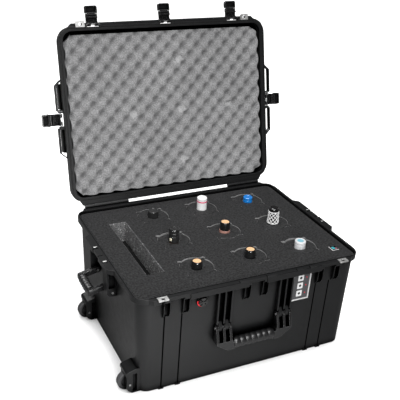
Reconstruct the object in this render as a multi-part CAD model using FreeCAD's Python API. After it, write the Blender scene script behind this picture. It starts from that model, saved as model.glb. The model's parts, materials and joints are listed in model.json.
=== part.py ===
import FreeCAD, Part
import math
import os

# Wheeled hard transport case with a foam insert for nine bottles, modelled with its lid open.
# Millimetres. X runs along the long side, Y from the front to the hinge side, Z up.
# The origin is the centre of the base's footprint on the floor.
# The lid and its latches are drawn closed and then swung open together.

V = FreeCAD.Vector
X_AXIS = V(1, 0, 0)
Y_AXIS = V(0, 1, 0)
Z_AXIS = V(0, 0, 1)

# ---- base ----
RIM_X = 337.5            # half length over the rim
RIM_Y = 258.0            # half width over the rim band, without the flanges
RIM_TOP = 296.4
RIM_BOTTOM = 282.0
RIM_CORNER = 45.0
WALL_X = 325.4           # half length of the outer wall just under the rim
WALL_Y = 253.7
FOOT_X = 317.1           # the same at the floor: the walls have draft
FOOT_Y = 245.4
WALL_CORNER = 38.0
FOOT_CORNER = 30.0
FOOT_ROUND = 3.5
FOOT_HEIGHT = 7.0
WALL = 5.0
FLANGE_Y = 266.0         # front flange, where the latches hook
HINGE_FLANGE_Y = 268.0
FLANGE_ROOT_X = 318.0    # both flanges fade into the rim's corners between these lengths
FLANGE_ROOT_Y = 243.0
FRONT_FLANGE_X = 292.0
BACK_FLANGE_X = 304.0
SEAT_Y = 254.4           # back of the latch slots and of the padlock recesses
FOAM_OPEN_X = 329.0
FOAM_OPEN_Y = 249.6
FOAM_OPEN_CORNER = 22.0
BEAD_X = 331.0           # sealing bead on the rim, and the gasket groove above it
BEAD_Y = 251.5
PANEL_LINES = (-257.0, -209.0, 194.0, 237.0)
PANEL_TOP = 233.0        # the panel lines stop where the latch pockets start
POCKET_TOP = 281.5
POCKET_DEPTH = 3.4
POCKET_Z = 258.0
CHANNEL_Z = 230.0        # middle and foot of the channels behind the front handle
CHANNEL_FOOT = 186.0
CHANNEL_X = (81.7, 101.3)
DRAFT = math.degrees(math.atan((WALL_Y - FOOT_Y) / RIM_BOTTOM))

# ---- lid ----
OPEN_ANGLE = 103.34
HINGE_Y = 272.8
HINGE_Z = 298.9
LID_BOTTOM = 296.8
LID_RIM_TOP = 311.0
LID_TOP = 358.0
DOME_TOP = (318.5, 246.5, 34.0)    # half length, half width and corner at the top of the lid
DOME_ROUND = 13.0
LID_WALL = 4.5
LID_OPEN_X = 322.0
LID_OPEN_Y = 244.6
FLANGE_BOTTOM = 299.5    # underside of the lid's front flange
GROOVE_DEPTH = 5.0
GROOVE_WIDTH = 4.0
HINGE_SPANS = ((-299.0, -160.0), (187.0, 300.0))
KNUCKLES = 5
KNUCKLE_R = 6.5
HINGE_PIN_R = 2.5
FIT = 0.05               # radial running clearance

# ---- latches ----
LATCH_X = (-228.0, 0.0, 226.0)
SIDE_LATCH_Y = 5.0
LATCH_Z = 305.0          # latch pin height with the lid closed
LATCH_PIVOT = 5.5        # pin set back from the flange's face
LATCH_HALF = 17.0
SLOT_HALF = 19.5
POCKET_X = 26.5          # recesses beside each front latch
LATCH_PIN_R = 1.75
LATCH_OPEN = 88.0        # latches rest swung out from their closed place
SIDE_FACE = 352.0        # face of the side keeper that the side latches hook
KEEPER_Z = 288.0         # underside of the keepers that the hooks bear on
EYE_R = 5.0              # latch body round its pin
LEVER_OUT = 9.5          # lever pivot from the latch pin, outwards and down
LEVER_DOWN = 26.5
BARREL_R = 4.0
LEVER_HALF = 18.5
SHACKLE_X = 267.0        # padlock holes through both flanges
SHACKLE_Y = -263.0
SHACKLE_R = 5.2

# ---- handles and their posts ----
PIVOT_X = 333.5          # side handle pivots
PIVOT_Z = 216.0
BAR_OUT = 46.5           # side handle bar from its pivot, swung out
BAR_DROP = 13.0
ARM_Y = 45.0             # side handle arms, outer faces from the centre of the end
FRONT_PIVOT_Y = -260.0
FRONT_PIVOT_Z = 165.0
FRONT_BAR_Y = -266.5
FRONT_BAR_Z = 112.0
FRONT_PLATES = (72.0, 91.5, 111.0)
HANDLE_PIN_R = 3.0
POSTS = ((-82.0, -47.0, -1), (59.0, 94.0, 1))  # the end handle's posts, and the side each recess opens to
ARM_PROFILE = [(-331.5, 208.6), (-334.5, 223.4), (-384, 210.5), (-384, 196.0)]  # swung out, in x and z
HANG_ANGLE = 69.0        # side handle from swung out to hanging

# ---- wheels ----
WHEEL_Y = (-208.0, 139.0)
WHEEL_X = -339.0
WHEEL_Z = 27.5
WHEEL_R = 27.0
WHEEL_WIDTH = 18.0
WHEEL_NEAR = 26.0        # housing from the middle of its wheel, to the front and to the back
WHEEL_FAR = 22.0
AXLE_R = 3.0

# ---- trolley handle ----
TUBE_Y = 75.0
TUBE_Z = 19.0

# ---- foam and bottles ----
FOAM_TOP = 290.0
FOAM_SHEET = (328.0, 248.4, 20.0)  # half length, half width and corner of the top sheet
FOAM_FOOT = (311.0, 239.2, 23.0)   # the same for the foot of the block under it
FOAM_DRAFT = 8.0                   # how much wider the block is at the rim than at its foot
TOOL_SLOT = (-261.0, -212.0, -138.0, 157.0, 225.0)  # its sides in x and in y, and its floor
FOAM_BOTTOM = 40.0
FOAM_SEAM_X = -190.0     # the insert is two blocks side by side
WELL_R = 46.5
WELL_FLOOR = 52.0
NOTCH_RADIUS = 6.0
NOTCH_PLACE = 49.5
BOTTLE_R = 41.0
NECK_R = 13.0
COLLAR_BOTTOM = 268.0
COLLAR_GAP = 1.2
COLUMNS = (-120.0, 42.0, 205.0)
ROWS = (167.0, 10.0, -143.0)
# name, column, row, cap radius, cap height above the foam, cap length, collar drop
BOTTLES = (
    ("bottle_1", 0, 0, 16.0, 18.0, 30.0, 1.0),
    ("bottle_2", 1, 0, 15.5, 37.0, 40.0, 0.8),
    ("bottle_3", 2, 0, 15.0, 14.0, 26.0, 1.0),
    ("bottle_4", 0, 1, 15.5, 36.0, 39.0, 3.0),
    ("bottle_5", 1, 1, 15.5, 30.0, 42.0, 1.4),
    ("bottle_6", 2, 1, 15.5, 50.0, 53.0, 1.4),
    ("bottle_7", 0, 2, 16.0, 17.0, 30.0, 3.0),
    ("bottle_8", 1, 2, 16.0, 21.0, 32.0, 2.4),
    ("bottle_9", 2, 2, 16.0, 17.0, 28.0, 4.0),
)


# ---------------------------------------------------------------- helpers

def box(x0, x1, y0, y1, z0, z1):
    low = V(min(x0, x1), min(y0, y1), min(z0, z1))
    return Part.makeBox(abs(x1 - x0), abs(y1 - y0), abs(z1 - z0), low)


def cylinder_x(r, x0, x1, y, z):
    return Part.makeCylinder(r, x1 - x0, V(x0, y, z), X_AXIS)


def cylinder_y(r, y0, y1, x, z):
    return Part.makeCylinder(r, y1 - y0, V(x, y0, z), Y_AXIS)


def cylinder_z(r, z0, z1, x, y):
    return Part.makeCylinder(r, z1 - z0, V(x, y, z0), Z_AXIS)


def rounded_wire(half_x, half_y, r, z, cx=0.0, cy=0.0):
    corners = (
        (half_x - r, half_y - r, 0),
        (-half_x + r, half_y - r, 90),
        (-half_x + r, -half_y + r, 180),
        (half_x - r, -half_y + r, 270),
    )
    arcs = []
    for x, y, start in corners:
        points = []
        for angle in (start, start + 45, start + 90):
            a = math.radians(angle)
            points.append(V(cx + x + r * math.cos(a), cy + y + r * math.sin(a), z))
        arcs.append(Part.Arc(*points).toShape())
    edges = []
    for arc, following in zip(arcs, arcs[1:] + arcs[:1]):
        edges.append(arc)
        edges.append(Part.makeLine(arc.Vertexes[-1].Point, following.Vertexes[0].Point))
    return Part.Wire(edges)


def rounded_prism(half_x, half_y, r, z0, z1, cx=0.0, cy=0.0):
    face = Part.Face(rounded_wire(half_x, half_y, r, z0, cx, cy))
    return face.extrude(V(0, 0, z1 - z0))


def drafted_block(low, high):
    return Part.makeLoft([rounded_wire(*low), rounded_wire(*high)], True, True)


def prism(points, direction):
    wire = Part.makePolygon([V(*p) for p in points] + [V(*points[0])])
    return Part.Face(wire).extrude(V(*direction))


def prism_z(outline, z0, z1):
    return prism([(x, y, z0) for x, y in outline], (0, 0, z1 - z0))


def prism_x(outline, x0, x1):
    return prism([(x0, y, z) for y, z in outline], (x1 - x0, 0, 0))


def prism_y(outline, y0, y1):
    return prism([(x, y0, z) for x, z in outline], (0, y1 - y0, 0))


def fuse(shapes):
    return shapes[0].multiFuse(shapes[1:]).removeSplitter()


def cut(shape, tools):
    return shape.cut(Part.makeCompound(tools))


def round_edges(shape, r, chosen):
    edges = [edge for edge in shape.Edges if chosen(edge)]
    return shape.makeFillet(r, edges)


def mirrored(shape, sign):
    if sign > 0:
        return shape
    return shape.mirror(V(0, 0, 0), X_AXIS)


def wall_y(z):
    """Outer face of the front wall, as a distance from the middle plane."""
    return FOOT_Y + (WALL_Y - FOOT_Y) * z / RIM_BOTTOM


def lean_with_front_wall(shape, z):
    """Tilts a piece drawn upright about height z so that it follows the drafted front wall."""
    return shape.rotate(V(0, -wall_y(z), z), X_AXIS, DRAFT)


def swing_lid(shape):
    """Takes a shape drawn on the closed lid to the open lid."""
    return shape.rotate(V(0, HINGE_Y, HINGE_Z), X_AXIS, -OPEN_ANGLE)


def write(name, shape):
    if shape.ShapeType == "Compound" and len(shape.Solids) == 1:
        shape = shape.Solids[0]
    shape.exportStep("parts/%s.step" % name)


# ---------------------------------------------------------------- base shell

def flange_outline(depth, half_length):
    root = math.copysign(FLANGE_ROOT_Y, depth)
    return [(-FLANGE_ROOT_X, root), (-half_length, depth), (half_length, depth), (FLANGE_ROOT_X, root)]


def end_blocks(z0, z1):
    """Flange blocks on both sides of the end latches, as outlines for the right-hand end."""
    near = [(333, -102), (338, -102), (353.5, -88), (353.5, -19), (350, -16), (333, -16)]
    far = [(333, 26), (350, 26), (353.5, 29), (353.5, 95), (338, 109), (333, 109)]
    return [prism_z(near, z0, z1), prism_z(far, z0, z1)]


def end_posts():
    """Posts under the end flange blocks that carry the end handle's pins."""
    posts = []
    for y0, y1, mouth in POSTS:
        outline = [(321.5, 206), (342, 206), (349.5, 214), (350.5, 284), (321.5, 284)]
        post = prism_y(outline, y0, y1)
        face = y0 if mouth < 0 else y1
        recess = box(328, 345, face - mouth * 7, face + mouth, 230, 277)
        posts.append(post.cut(recess))
    return posts


def wheel_housing(y):
    """Housing round one wheel, with a slot between its near plate and the case's wall."""
    outline = [(-300, 0.5), (-333, 0.5), (-344, 9), (-347, 16), (-347, 50), (-350, 57)]
    outline += [(-350, 65), (-345, 69), (-322, 75), (-300, 75)]
    housing = prism_y(outline, y - WHEEL_NEAR, y + WHEEL_FAR)
    gap = box(-331.5, -319.5, y - WHEEL_NEAR - 1, y - WHEEL_NEAR + 7, 4, 61)
    return housing.cut(gap)


def wheel_slot(y):
    half = WHEEL_WIDTH / 2 + 2
    round_part = cylinder_y(WHEEL_R + 3, y - half, y + half, WHEEL_X, WHEEL_Z)
    mouth = box(-380, WHEEL_X, y - half, y + half, -1, WHEEL_Z + WHEEL_R + 3)
    below = box(-380, WHEEL_X + WHEEL_R + 2, y - half, y + half, -1, WHEEL_Z)
    axle_hole = cylinder_y(AXLE_R + FIT, y - 40, y + 20, WHEEL_X, WHEEL_Z)
    return [round_part, mouth, below, axle_hole]


def front_ribs():
    """Upright ribs that guard the front handle, with its pivot posts at their feet."""
    ribs = []
    for sign in (-1, 1):
        for x in FRONT_PLATES:
            ribs.append(box(sign * (x - 2), sign * (x + 2), -264, -248, 178, 284))
        for x in CHANNEL_X:
            outline = [(-246, 148), (-262, 152), (-266, 160), (-266, 170), (-258, 184), (-246, 184)]
            post = prism_x(outline, sign * x - 4.5, sign * x + 4.5)
            hole = cylinder_x(HANDLE_PIN_R + FIT, sign * x - 6, sign * x + 6, FRONT_PIVOT_Y, FRONT_PIVOT_Z)
            ribs.append(post.cut(hole))
    return ribs


def front_pockets():
    """Recesses beside each front latch, and the guide channels behind the front handle."""
    pockets = []
    for latch in LATCH_X:
        for side in (-POCKET_X, POCKET_X):
            x = latch + side
            pockets.append(front_pocket(x, 7.4, POCKET_Z, PANEL_TOP))
    for sign in (-1, 1):
        for x in CHANNEL_X:
            pockets.append(front_pocket(sign * x, 7.6, CHANNEL_Z, CHANNEL_FOOT))
    return pockets


def front_pocket(x, half, middle_z, foot_z):
    """A shallow upright recess in the front wall, up to the rim."""
    y = -wall_y(middle_z)
    pocket = box(x - half, x + half, y - 3, y + POCKET_DEPTH, foot_z, POCKET_TOP)
    return lean_with_front_wall(pocket, middle_z)


def pocket_ribs():
    """Thin upright ribs on both edges of each recess beside a latch."""
    ribs = []
    outline = [(-249, 232), (-253.5, 232), (-262, 246), (-264, 284), (-249, 284)]
    for latch in LATCH_X:
        for side in (-POCKET_X, POCKET_X):
            for edge in (-8.2, 8.2):
                x = latch + side + edge
                ribs.append(prism_x(outline, x - 0.8, x + 0.8))
    return ribs


def panel_grooves():
    """Fine upright panel lines down the front and back walls."""
    grooves = []
    for x in PANEL_LINES:
        y = -wall_y(PANEL_TOP / 2)
        groove = box(x - 0.9, x + 0.9, y - 2, y + 1.2, FOOT_HEIGHT + 2, PANEL_TOP)
        groove = lean_with_front_wall(groove, PANEL_TOP / 2)
        grooves += [groove, groove.mirror(V(0, 0, 0), Y_AXIS)]
    return grooves


def feet():
    """Small feet under the ends of the panel lines, along the front and the back."""
    pads = [box(x - 7, x + 7, -FOOT_Y - 2.6, -FOOT_Y + 8, 0, FOOT_HEIGHT) for x in PANEL_LINES]
    return pads + [pad.mirror(V(0, 0, 0), Y_AXIS) for pad in pads]


def hinge_knuckles(member):
    """Knuckles of one hinge leaf: member 0 is the base's, member 1 the lid's."""
    knuckles = []
    for x0, x1 in HINGE_SPANS:
        pitch = (x1 - x0) / KNUCKLES
        for i in range(member, KNUCKLES, 2):
            a = x0 + i * pitch + 0.4
            b = x0 + (i + 1) * pitch - 0.4
            barrel = cylinder_x(KNUCKLE_R, a, b, HINGE_Y, HINGE_Z)
            if member == 0:
                web = prism_x([(262, 284), (266, 284), (277, 294), (HINGE_Y, 296.2), (262, 296.2)], a, b)
            else:
                web = prism_x([(262, 303), (262, 297), (HINGE_Y, 297), (HINGE_Y + 2, 304.5)], a, b)
            hole = cylinder_x(HINGE_PIN_R + FIT, a - 1, b + 1, HINGE_Y, HINGE_Z)
            knuckles.append(barrel.fuse(web).cut(hole))
    return knuckles


def hinge_reliefs(member):
    """Room in one leaf for the other leaf's knuckles."""
    reliefs = []
    for x0, x1 in HINGE_SPANS:
        pitch = (x1 - x0) / KNUCKLES
        for i in range(1 - member, KNUCKLES, 2):
            a = x0 + i * pitch - 0.4
            b = x0 + (i + 1) * pitch + 0.4
            reliefs.append(cylinder_x(KNUCKLE_R + 0.7, a, b, HINGE_Y, HINGE_Z))
    return reliefs


def trolley_channels(grow, z1):
    channels = []
    for sign in (-1, 1):
        y = sign * TUBE_Y
        channels.append(box(-290 - grow, 330, y - 13.5 - grow, y + 13.5 + grow, -1, z1))
    return channels


def base_tub():
    outer = drafted_block((FOOT_X, FOOT_Y, FOOT_CORNER, 0), (WALL_X, WALL_Y, WALL_CORNER, RIM_BOTTOM + 2))
    outer = round_edges(outer, FOOT_ROUND, lambda e: e.BoundBox.ZMax < 1)
    inner_low = (FOOT_X - WALL, FOOT_Y - WALL, FOOT_CORNER - WALL, WALL)
    inner_high = (WALL_X - WALL, WALL_Y - WALL, WALL_CORNER - WALL, RIM_BOTTOM + 3)
    return outer, drafted_block(inner_low, inner_high)


def base_rim():
    band = rounded_prism(RIM_X, RIM_Y, RIM_CORNER, RIM_BOTTOM, RIM_TOP)
    front = prism_z(flange_outline(-FLANGE_Y, FRONT_FLANGE_X), RIM_BOTTOM, RIM_TOP)
    notches = [box(x - SLOT_HALF, x + SLOT_HALF, -FLANGE_Y - 1, -RIM_Y - 0.4, 281, KEEPER_Z) for x in LATCH_X]
    front = cut(front, notches)
    back = prism_z(flange_outline(HINGE_FLANGE_Y, BACK_FLANGE_X), RIM_BOTTOM, RIM_TOP)
    skirts = [box(-193, -27, -268, -260, 279, 295), box(27, 198, -268, -260, 279, 295)]
    tabs = []
    outline = [(-268, 290), (-268, 296.4), (-265, 298.4), (-258.6, 298.4), (-258.6, 290)]
    for x0, x1 in ((-54, -27), (27, 53), (118, 141), (160, 181)):
        tabs.append(prism_x(outline, x0, x1))
    bead = rounded_prism(BEAD_X + 1, BEAD_Y + 1, 25, RIM_TOP - 1, RIM_TOP + 1.2)
    bead = bead.cut(rounded_prism(BEAD_X - 1, BEAD_Y - 1, 23, RIM_TOP - 2, RIM_TOP + 2))
    opening = rounded_prism(FOAM_OPEN_X, FOAM_OPEN_Y, FOAM_OPEN_CORNER, RIM_BOTTOM + 1.5, RIM_TOP + 5)
    rim = fuse([band, front, back] + skirts).cut(opening)
    return fuse([rim, bead] + tabs)


def base_ends():
    """Everything that stands out from the two ends under the rim."""
    pieces = []
    for sign in (-1, 1):
        pieces += [mirrored(block, sign) for block in end_blocks(283.5, RIM_TOP)]
        pieces += [mirrored(post, sign) for post in end_posts()]
        keeper = prism_y([(330, RIM_BOTTOM), (343, RIM_BOTTOM), (343, KEEPER_Z), (SIDE_FACE, KEEPER_Z),
                          (SIDE_FACE, RIM_TOP), (330, RIM_TOP)], SIDE_LATCH_Y - 18, SIDE_LATCH_Y + 18)
        pieces.append(mirrored(keeper, sign))
    return pieces


def end_tabs():
    tabs = []
    for sign in (-1, 1):
        for y in (-49, 32):
            tabs.append(mirrored(box(338.2, 350.5, y - 3, y + 3, RIM_TOP - 1, RIM_TOP + 1.6), sign))
    return tabs


def base_shell():
    outer, inner = base_tub()
    solids = [outer]
    solids += [wheel_housing(y) for y in WHEEL_Y]
    body = fuse(solids)
    liners = [box(-322, -303, y - 17, y + 17, 2, 68) for y in WHEEL_Y]
    liners += trolley_channels(4, 37.5)
    cavity = cut(inner, liners)
    body = body.cut(cavity)
    body = fuse([body, base_rim()] + base_ends() + end_tabs() + front_ribs() + pocket_ribs() + feet())
    below_rim = (WALL_X - WALL, WALL_Y - WALL, WALL_CORNER - WALL, RIM_BOTTOM - 2)
    cuts = [rounded_prism(*below_rim[:3], below_rim[3], RIM_TOP + 5)]
    cuts += front_pockets() + panel_grooves() + trolley_channels(0, 33)
    for y in WHEEL_Y:
        cuts += wheel_slot(y)
    cuts += end_pin_places(HANDLE_PIN_R + FIT)
    cuts += padlock_recesses(-274, -SEAT_Y, 293.3, RIM_TOP + 5)
    cuts += shackle_holes(RIM_BOTTOM - 10, RIM_TOP + 5)
    body = fuse([cut(body, cuts)] + hinge_knuckles(0))
    return cut(body, hinge_reliefs(0))


def padlock_recesses(y0, y1, z0, z1):
    return [box(s * 253.9, s * 281.1, y0, y1, z0, z1) for s in (-1, 1)]


def shackle_holes(z0, z1):
    return [cylinder_z(SHACKLE_R + 0.3, z0, z1, s * SHACKLE_X, SHACKLE_Y) for s in (-1, 1)]


def padlock_plates(z0, z1):
    plates = []
    for sign in (-1, 1):
        plate = box(sign * 254, sign * 281, -272, -254.6, z0, z1)
        hole = cylinder_z(SHACKLE_R, z0 - 1, z1 + 1, sign * SHACKLE_X, SHACKLE_Y)
        plate = round_edges(plate.cut(hole), 2.0, lambda e: e.BoundBox.ZLength > 1 and e.BoundBox.YMin < -271
                            and e.BoundBox.XLength < 0.1)
        plates.append(plate)
    return Part.makeCompound(plates)


# ---------------------------------------------------------------- pins

def end_pin_places(r):
    """The end handles' pins, one through each post, for both ends."""
    pins = []
    for sign in (-1, 1):
        for y0, y1 in ((POSTS[0][0] - 0.6, -ARM_Y + 13), (ARM_Y - 3, POSTS[1][1] + 0.6)):
            pins.append(cylinder_y(r, y0, y1, sign * PIVOT_X, PIVOT_Z))
    return pins


def handle_pins_and_axles():
    pins = end_pin_places(HANDLE_PIN_R)
    for sign in (-1, 1):
        low = min(sign * 67.5, sign * 115.5)
        pins.append(cylinder_x(HANDLE_PIN_R, low, low + 48, FRONT_PIVOT_Y, FRONT_PIVOT_Z))
    for y in WHEEL_Y:
        pins.append(cylinder_y(AXLE_R, y - WHEEL_NEAR - 0.8, y + 19.8, WHEEL_X, WHEEL_Z))
    return Part.makeCompound(pins)


def hinge_pins():
    pins = [cylinder_x(HINGE_PIN_R, x0 - 1, x1 + 1, HINGE_Y, HINGE_Z) for x0, x1 in HINGE_SPANS]
    return Part.makeCompound(pins)


# ---------------------------------------------------------------- small front pieces

def pressure_valve():
    cx, cz = -154.0, 258.0
    face = -wall_y(cz) - 0.1
    body = cylinder_y(16.5, face - 3.0, face, cx, cz)
    knob = cylinder_y(13.0, face - 9.0, face - 2.5, cx, cz)
    valve = body.fuse(knob)
    valve = round_edges(valve, 1.2, lambda e: e.BoundBox.YMax < face - 8.9)
    slots = []
    for k in range(4):
        slot = box(cx - 1.2, cx + 1.2, face - 10, face - 6.5, cz + 4.5, cz + 14)
        slots.append(slot.rotate(V(cx, 0, cz), Y_AXIS, 45 + 90 * k))
    return lean_with_front_wall(cut(valve, slots), cz)


def label_plate(x0, x1, z0, z1, thick, gap):
    mid = (z0 + z1) / 2
    plate = box(x0, x1, -wall_y(mid) - gap - thick, -wall_y(mid) - gap, z0, z1)
    return plate, mid


def label_frame():
    plate, mid = label_plate(115.5, 174.0, 189.0, 275.0, 2.6, 0.1)
    window, _ = label_plate(119.5, 170.0, 193.0, 271.0, 4.0, -0.4)
    frame = plate.cut(window)
    frame = round_edges(frame, 0.8, lambda e: abs(e.BoundBox.YMin - plate.BoundBox.YMin) < 0.01
                        and e.BoundBox.YLength < 0.01)
    return lean_with_front_wall(frame, mid)


def label_card():
    card, mid = label_plate(119.8, 169.7, 193.3, 270.7, 1.4, 0.1)
    return lean_with_front_wall(card, mid)


# ---------------------------------------------------------------- lid

def lid_shell_closed():
    band = rounded_prism(RIM_X, RIM_Y, RIM_CORNER, LID_BOTTOM, LID_RIM_TOP)
    front = prism_z(flange_outline(-FLANGE_Y, FRONT_FLANGE_X), FLANGE_BOTTOM, LID_RIM_TOP)
    back = prism_z(flange_outline(HINGE_FLANGE_Y, BACK_FLANGE_X), LID_BOTTOM, 303.5)
    dome = drafted_block((WALL_X, WALL_Y, WALL_CORNER, 305.0), (*DOME_TOP, LID_TOP))
    dome = round_edges(dome, DOME_ROUND, lambda e: e.BoundBox.ZMin > LID_TOP - 1)
    low = (WALL_X - LID_WALL, WALL_Y - LID_WALL, WALL_CORNER - LID_WALL, LID_BOTTOM - 2)
    high = [size - LID_WALL for size in (*DOME_TOP, LID_TOP)]
    hollow = drafted_block(low, high)
    mouth = rounded_prism(LID_OPEN_X, LID_OPEN_Y, 26.0, LID_BOTTOM - 2, LID_BOTTOM + 9)
    body = fuse([band, front, back, dome] + lid_ears() + lid_guards() + lid_pads())
    upper = hollow.cut(box(-400, 400, -400, 400, LID_BOTTOM - 5, LID_BOTTOM + 8))
    body = cut(body, [upper, mouth])
    cuts = [gasket_ring(GROOVE_WIDTH, LID_BOTTOM - 1, LID_BOTTOM + GROOVE_DEPTH)]
    cuts += latch_slots() + latch_pin_holes()
    cuts += padlock_recesses(-275, -SEAT_Y, LID_BOTTOM - 2, FLANGE_BOTTOM + 0.1)
    cuts += shackle_holes(LID_BOTTOM - 5, LID_RIM_TOP + 5)
    cuts += lid_top_lines()
    body = cut(body, cuts)
    body = fuse([body] + hinge_knuckles(1))
    return cut(body, hinge_reliefs(1))


def lid_top_lines():
    """Panel lines over the top of the lid, and a shallow sunk field between them."""
    lines = [box(x - 1.1, x + 1.1, -228, 228, LID_TOP - 1.2, LID_TOP + 1) for x in PANEL_LINES]
    lines.append(rounded_prism(150.0, 120.0, 18.0, LID_TOP - 1.2, LID_TOP + 1, -8.0, 0.0))
    return lines


def gasket_ring(width, z0, z1):
    half = width / 2
    outer = rounded_prism(BEAD_X + half, BEAD_Y + half, 24 + half, z0, z1)
    return outer.cut(rounded_prism(BEAD_X - half, BEAD_Y - half, 24 - half, z0 - 1, z1 + 1))


def lid_ears():
    """Ears on the lid's ends that hold the side latches' pins."""
    ears = []
    for sign in (-1, 1):
        for y0, y1 in ((-23.5, -SLOT_HALF), (SLOT_HALF, 23.5)):
            ear = box(330, SIDE_FACE, SIDE_LATCH_Y + y0, SIDE_LATCH_Y + y1, FLANGE_BOTTOM, LID_RIM_TOP)
            ears.append(mirrored(ear, sign))
    return ears


def lid_guards():
    """Thin bumper loops on the lid's ends, one on each side of the side latch."""
    near = [(336, -109), (340, -109), (356, -94), (356, -20), (336, -20)]
    near_hole = [(330, -106), (338.6, -106), (353, -92.6), (353, -23), (330, -23)]
    far = [(336, 30), (356, 30), (356, 104), (340, 119), (336, 119)]
    far_hole = [(330, 33), (353, 33), (353, 102.6), (338.6, 116), (330, 116)]
    guards = []
    for sign in (-1, 1):
        for outline, hole in ((near, near_hole), (far, far_hole)):
            strip = prism_z(outline, FLANGE_BOTTOM, 316).cut(prism_z(hole, FLANGE_BOTTOM - 1, 320))
            guards.append(mirrored(strip, sign))
    return guards


def lid_pads():
    """Bumper pads on the sides of the lid's dome, above the loops."""
    outline = [(316, 324), (338, 324), (341, 328), (341, 347), (334, 351), (316, 351)]
    pads = []
    for sign in (-1, 1):
        for y0, y1 in ((-96, -22), (32, 106)):
            pads.append(mirrored(prism_y(outline, y0, y1), sign))
    return pads


def latch_slots():
    slots = []
    for x in LATCH_X:
        slots.append(box(x - SLOT_HALF, x + SLOT_HALF, -275, -SEAT_Y, LID_BOTTOM - 1, LID_RIM_TOP + 1))
    for sign in (-1, 1):
        y = SIDE_LATCH_Y
        root = SIDE_FACE - LATCH_PIVOT - EYE_R - 0.6
        slot = box(root, SIDE_FACE + 5, y - SLOT_HALF, y + SLOT_HALF, LID_BOTTOM - 1, LID_RIM_TOP + 1)
        slots.append(mirrored(slot, sign))
    return slots


def latch_pin_bars(r, half):
    bars = []
    for x in LATCH_X:
        bars.append(cylinder_x(r, x - half, x + half, -FLANGE_Y + LATCH_PIVOT, LATCH_Z))
    for sign in (-1, 1):
        x = sign * (SIDE_FACE - LATCH_PIVOT)
        bars.append(cylinder_y(r, SIDE_LATCH_Y - half, SIDE_LATCH_Y + half, x, LATCH_Z))
    return bars


def latch_pin_holes():
    return latch_pin_bars(LATCH_PIN_R + FIT, 24)


def lid_foam_closed():
    foam = drafted_block((318.0, 238.5, 27.0, 300.5, 0.0, 3.0), (312.0, 237.0, 27.0, 352.5, 0.0, 3.0))
    pockets = []
    for _, column, row, _, height, _, _ in BOTTLES:
        top = FOAM_TOP + height + 6
        pockets.append(cylinder_z(24.0, 290, top, COLUMNS[column], ROWS[row] - 2))
    return cut(foam, pockets)


# ---------------------------------------------------------------- latches

def latch_profile(points, half, y_face):
    """Extrudes a side profile: each point is (out from the pivot, down from the pivot)."""
    pivot = -y_face + LATCH_PIVOT
    outline = [(pivot - out, LATCH_Z - down) for out, down in points]
    return prism_x(outline, -half, half)


def latch_body_closed(y_face):
    """A hooked body with a window over its pin, and two ears that hold the lever."""
    outline = [(-4.0, 3.0), (1.0, -4.9), (12.0, 3.0), (12.0, 24.0), (6.5, 24.0), (6.5, 22.4)]
    outline += [(1.5, 22.4), (1.5, 18.4), (6.5, 18.4), (6.5, 9.0), (0.0, 4.9)]
    body = latch_profile(outline, LATCH_HALF, y_face)
    pivot = -y_face + LATCH_PIVOT
    y, z = pivot - LEVER_OUT, LATCH_Z - LEVER_DOWN
    eye = cylinder_x(EYE_R, -LATCH_HALF, LATCH_HALF, pivot, LATCH_Z)
    window = latch_profile([(-8, -8), (-8, 4), (4, 14), (20, 14), (20, -8)], 6.5, y_face)
    ears = []
    for x in (-LATCH_HALF, LATCH_HALF - 4):
        ear = cylinder_x(BARREL_R + 0.4, x, x + 4, y, z)
        root = box(x, x + 4, y - BARREL_R - 0.4, y + BARREL_R + 0.4, z, z + 6.5)
        ears += [ear, root]
    body = fuse([body, eye] + ears)
    barrel_room = cylinder_x(BARREL_R + 0.7, -13.0, 13.0, y, z)
    pin_hole = cylinder_x(LATCH_PIN_R + FIT, -30, 30, pivot, LATCH_Z)
    stub_hole = cylinder_x(LATCH_PIN_R + FIT, -30, 30, y, z)
    return cut(body, [window, barrel_room, pin_hole, stub_hole])


def latch_lever_closed(y_face):
    """A lever with a rounded tip and a shallow tray on its inner side."""
    pivot = -y_face + LATCH_PIVOT
    y, z = pivot - LEVER_OUT, LATCH_Z - LEVER_DOWN
    barrel = cylinder_x(BARREL_R, -12.6, 12.6, y, z)
    stubs = cylinder_x(LATCH_PIN_R, -LATCH_HALF, LATCH_HALF, y, z)
    web = box(-12, 12, y - 3, y + 3, z - 6, z)
    outline = [(7.0, 31.5), (15.0, 31.5), (16.5, 36.0), (16.8, 43.0), (15.6, 50.0), (13.5, 53.0)]
    outline += [(9.0, 53.0), (8.0, 45.0), (7.0, 38.0)]
    cover = latch_profile(outline, LEVER_HALF, y_face)
    tip = LATCH_Z - 53.0
    cover = round_edges(cover, 5.0, lambda e: e.BoundBox.ZMax < tip + 0.1 and e.BoundBox.XLength < 0.1)
    tray = box(-15.2, 15.2, pivot - 13.2, pivot, LATCH_Z - 50.0, LATCH_Z - 34.5)
    return fuse([cut(cover, [tray]), barrel, stubs, web])


def place_front_latch(shape, x):
    return shape.translated(V(x, 0, 0))


def place_side_latch(shape, sign):
    turned = shape.rotate(V(0, 0, 0), Z_AXIS, 90 * sign)
    return turned.translated(V(0, SIDE_LATCH_Y, 0))


def open_latch(shape, side_sign, front_x):
    """Swings a closed latch out to where it rests, then takes it to the open lid."""
    if side_sign == 0:
        turned = shape.rotate(V(0, -FLANGE_Y + LATCH_PIVOT, LATCH_Z), X_AXIS, -LATCH_OPEN)
        return swing_lid(place_front_latch(turned, front_x))
    turned = shape.rotate(V(0, -SIDE_FACE + LATCH_PIVOT, LATCH_Z), X_AXIS, -LATCH_OPEN)
    return swing_lid(place_side_latch(turned, side_sign))


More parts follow.
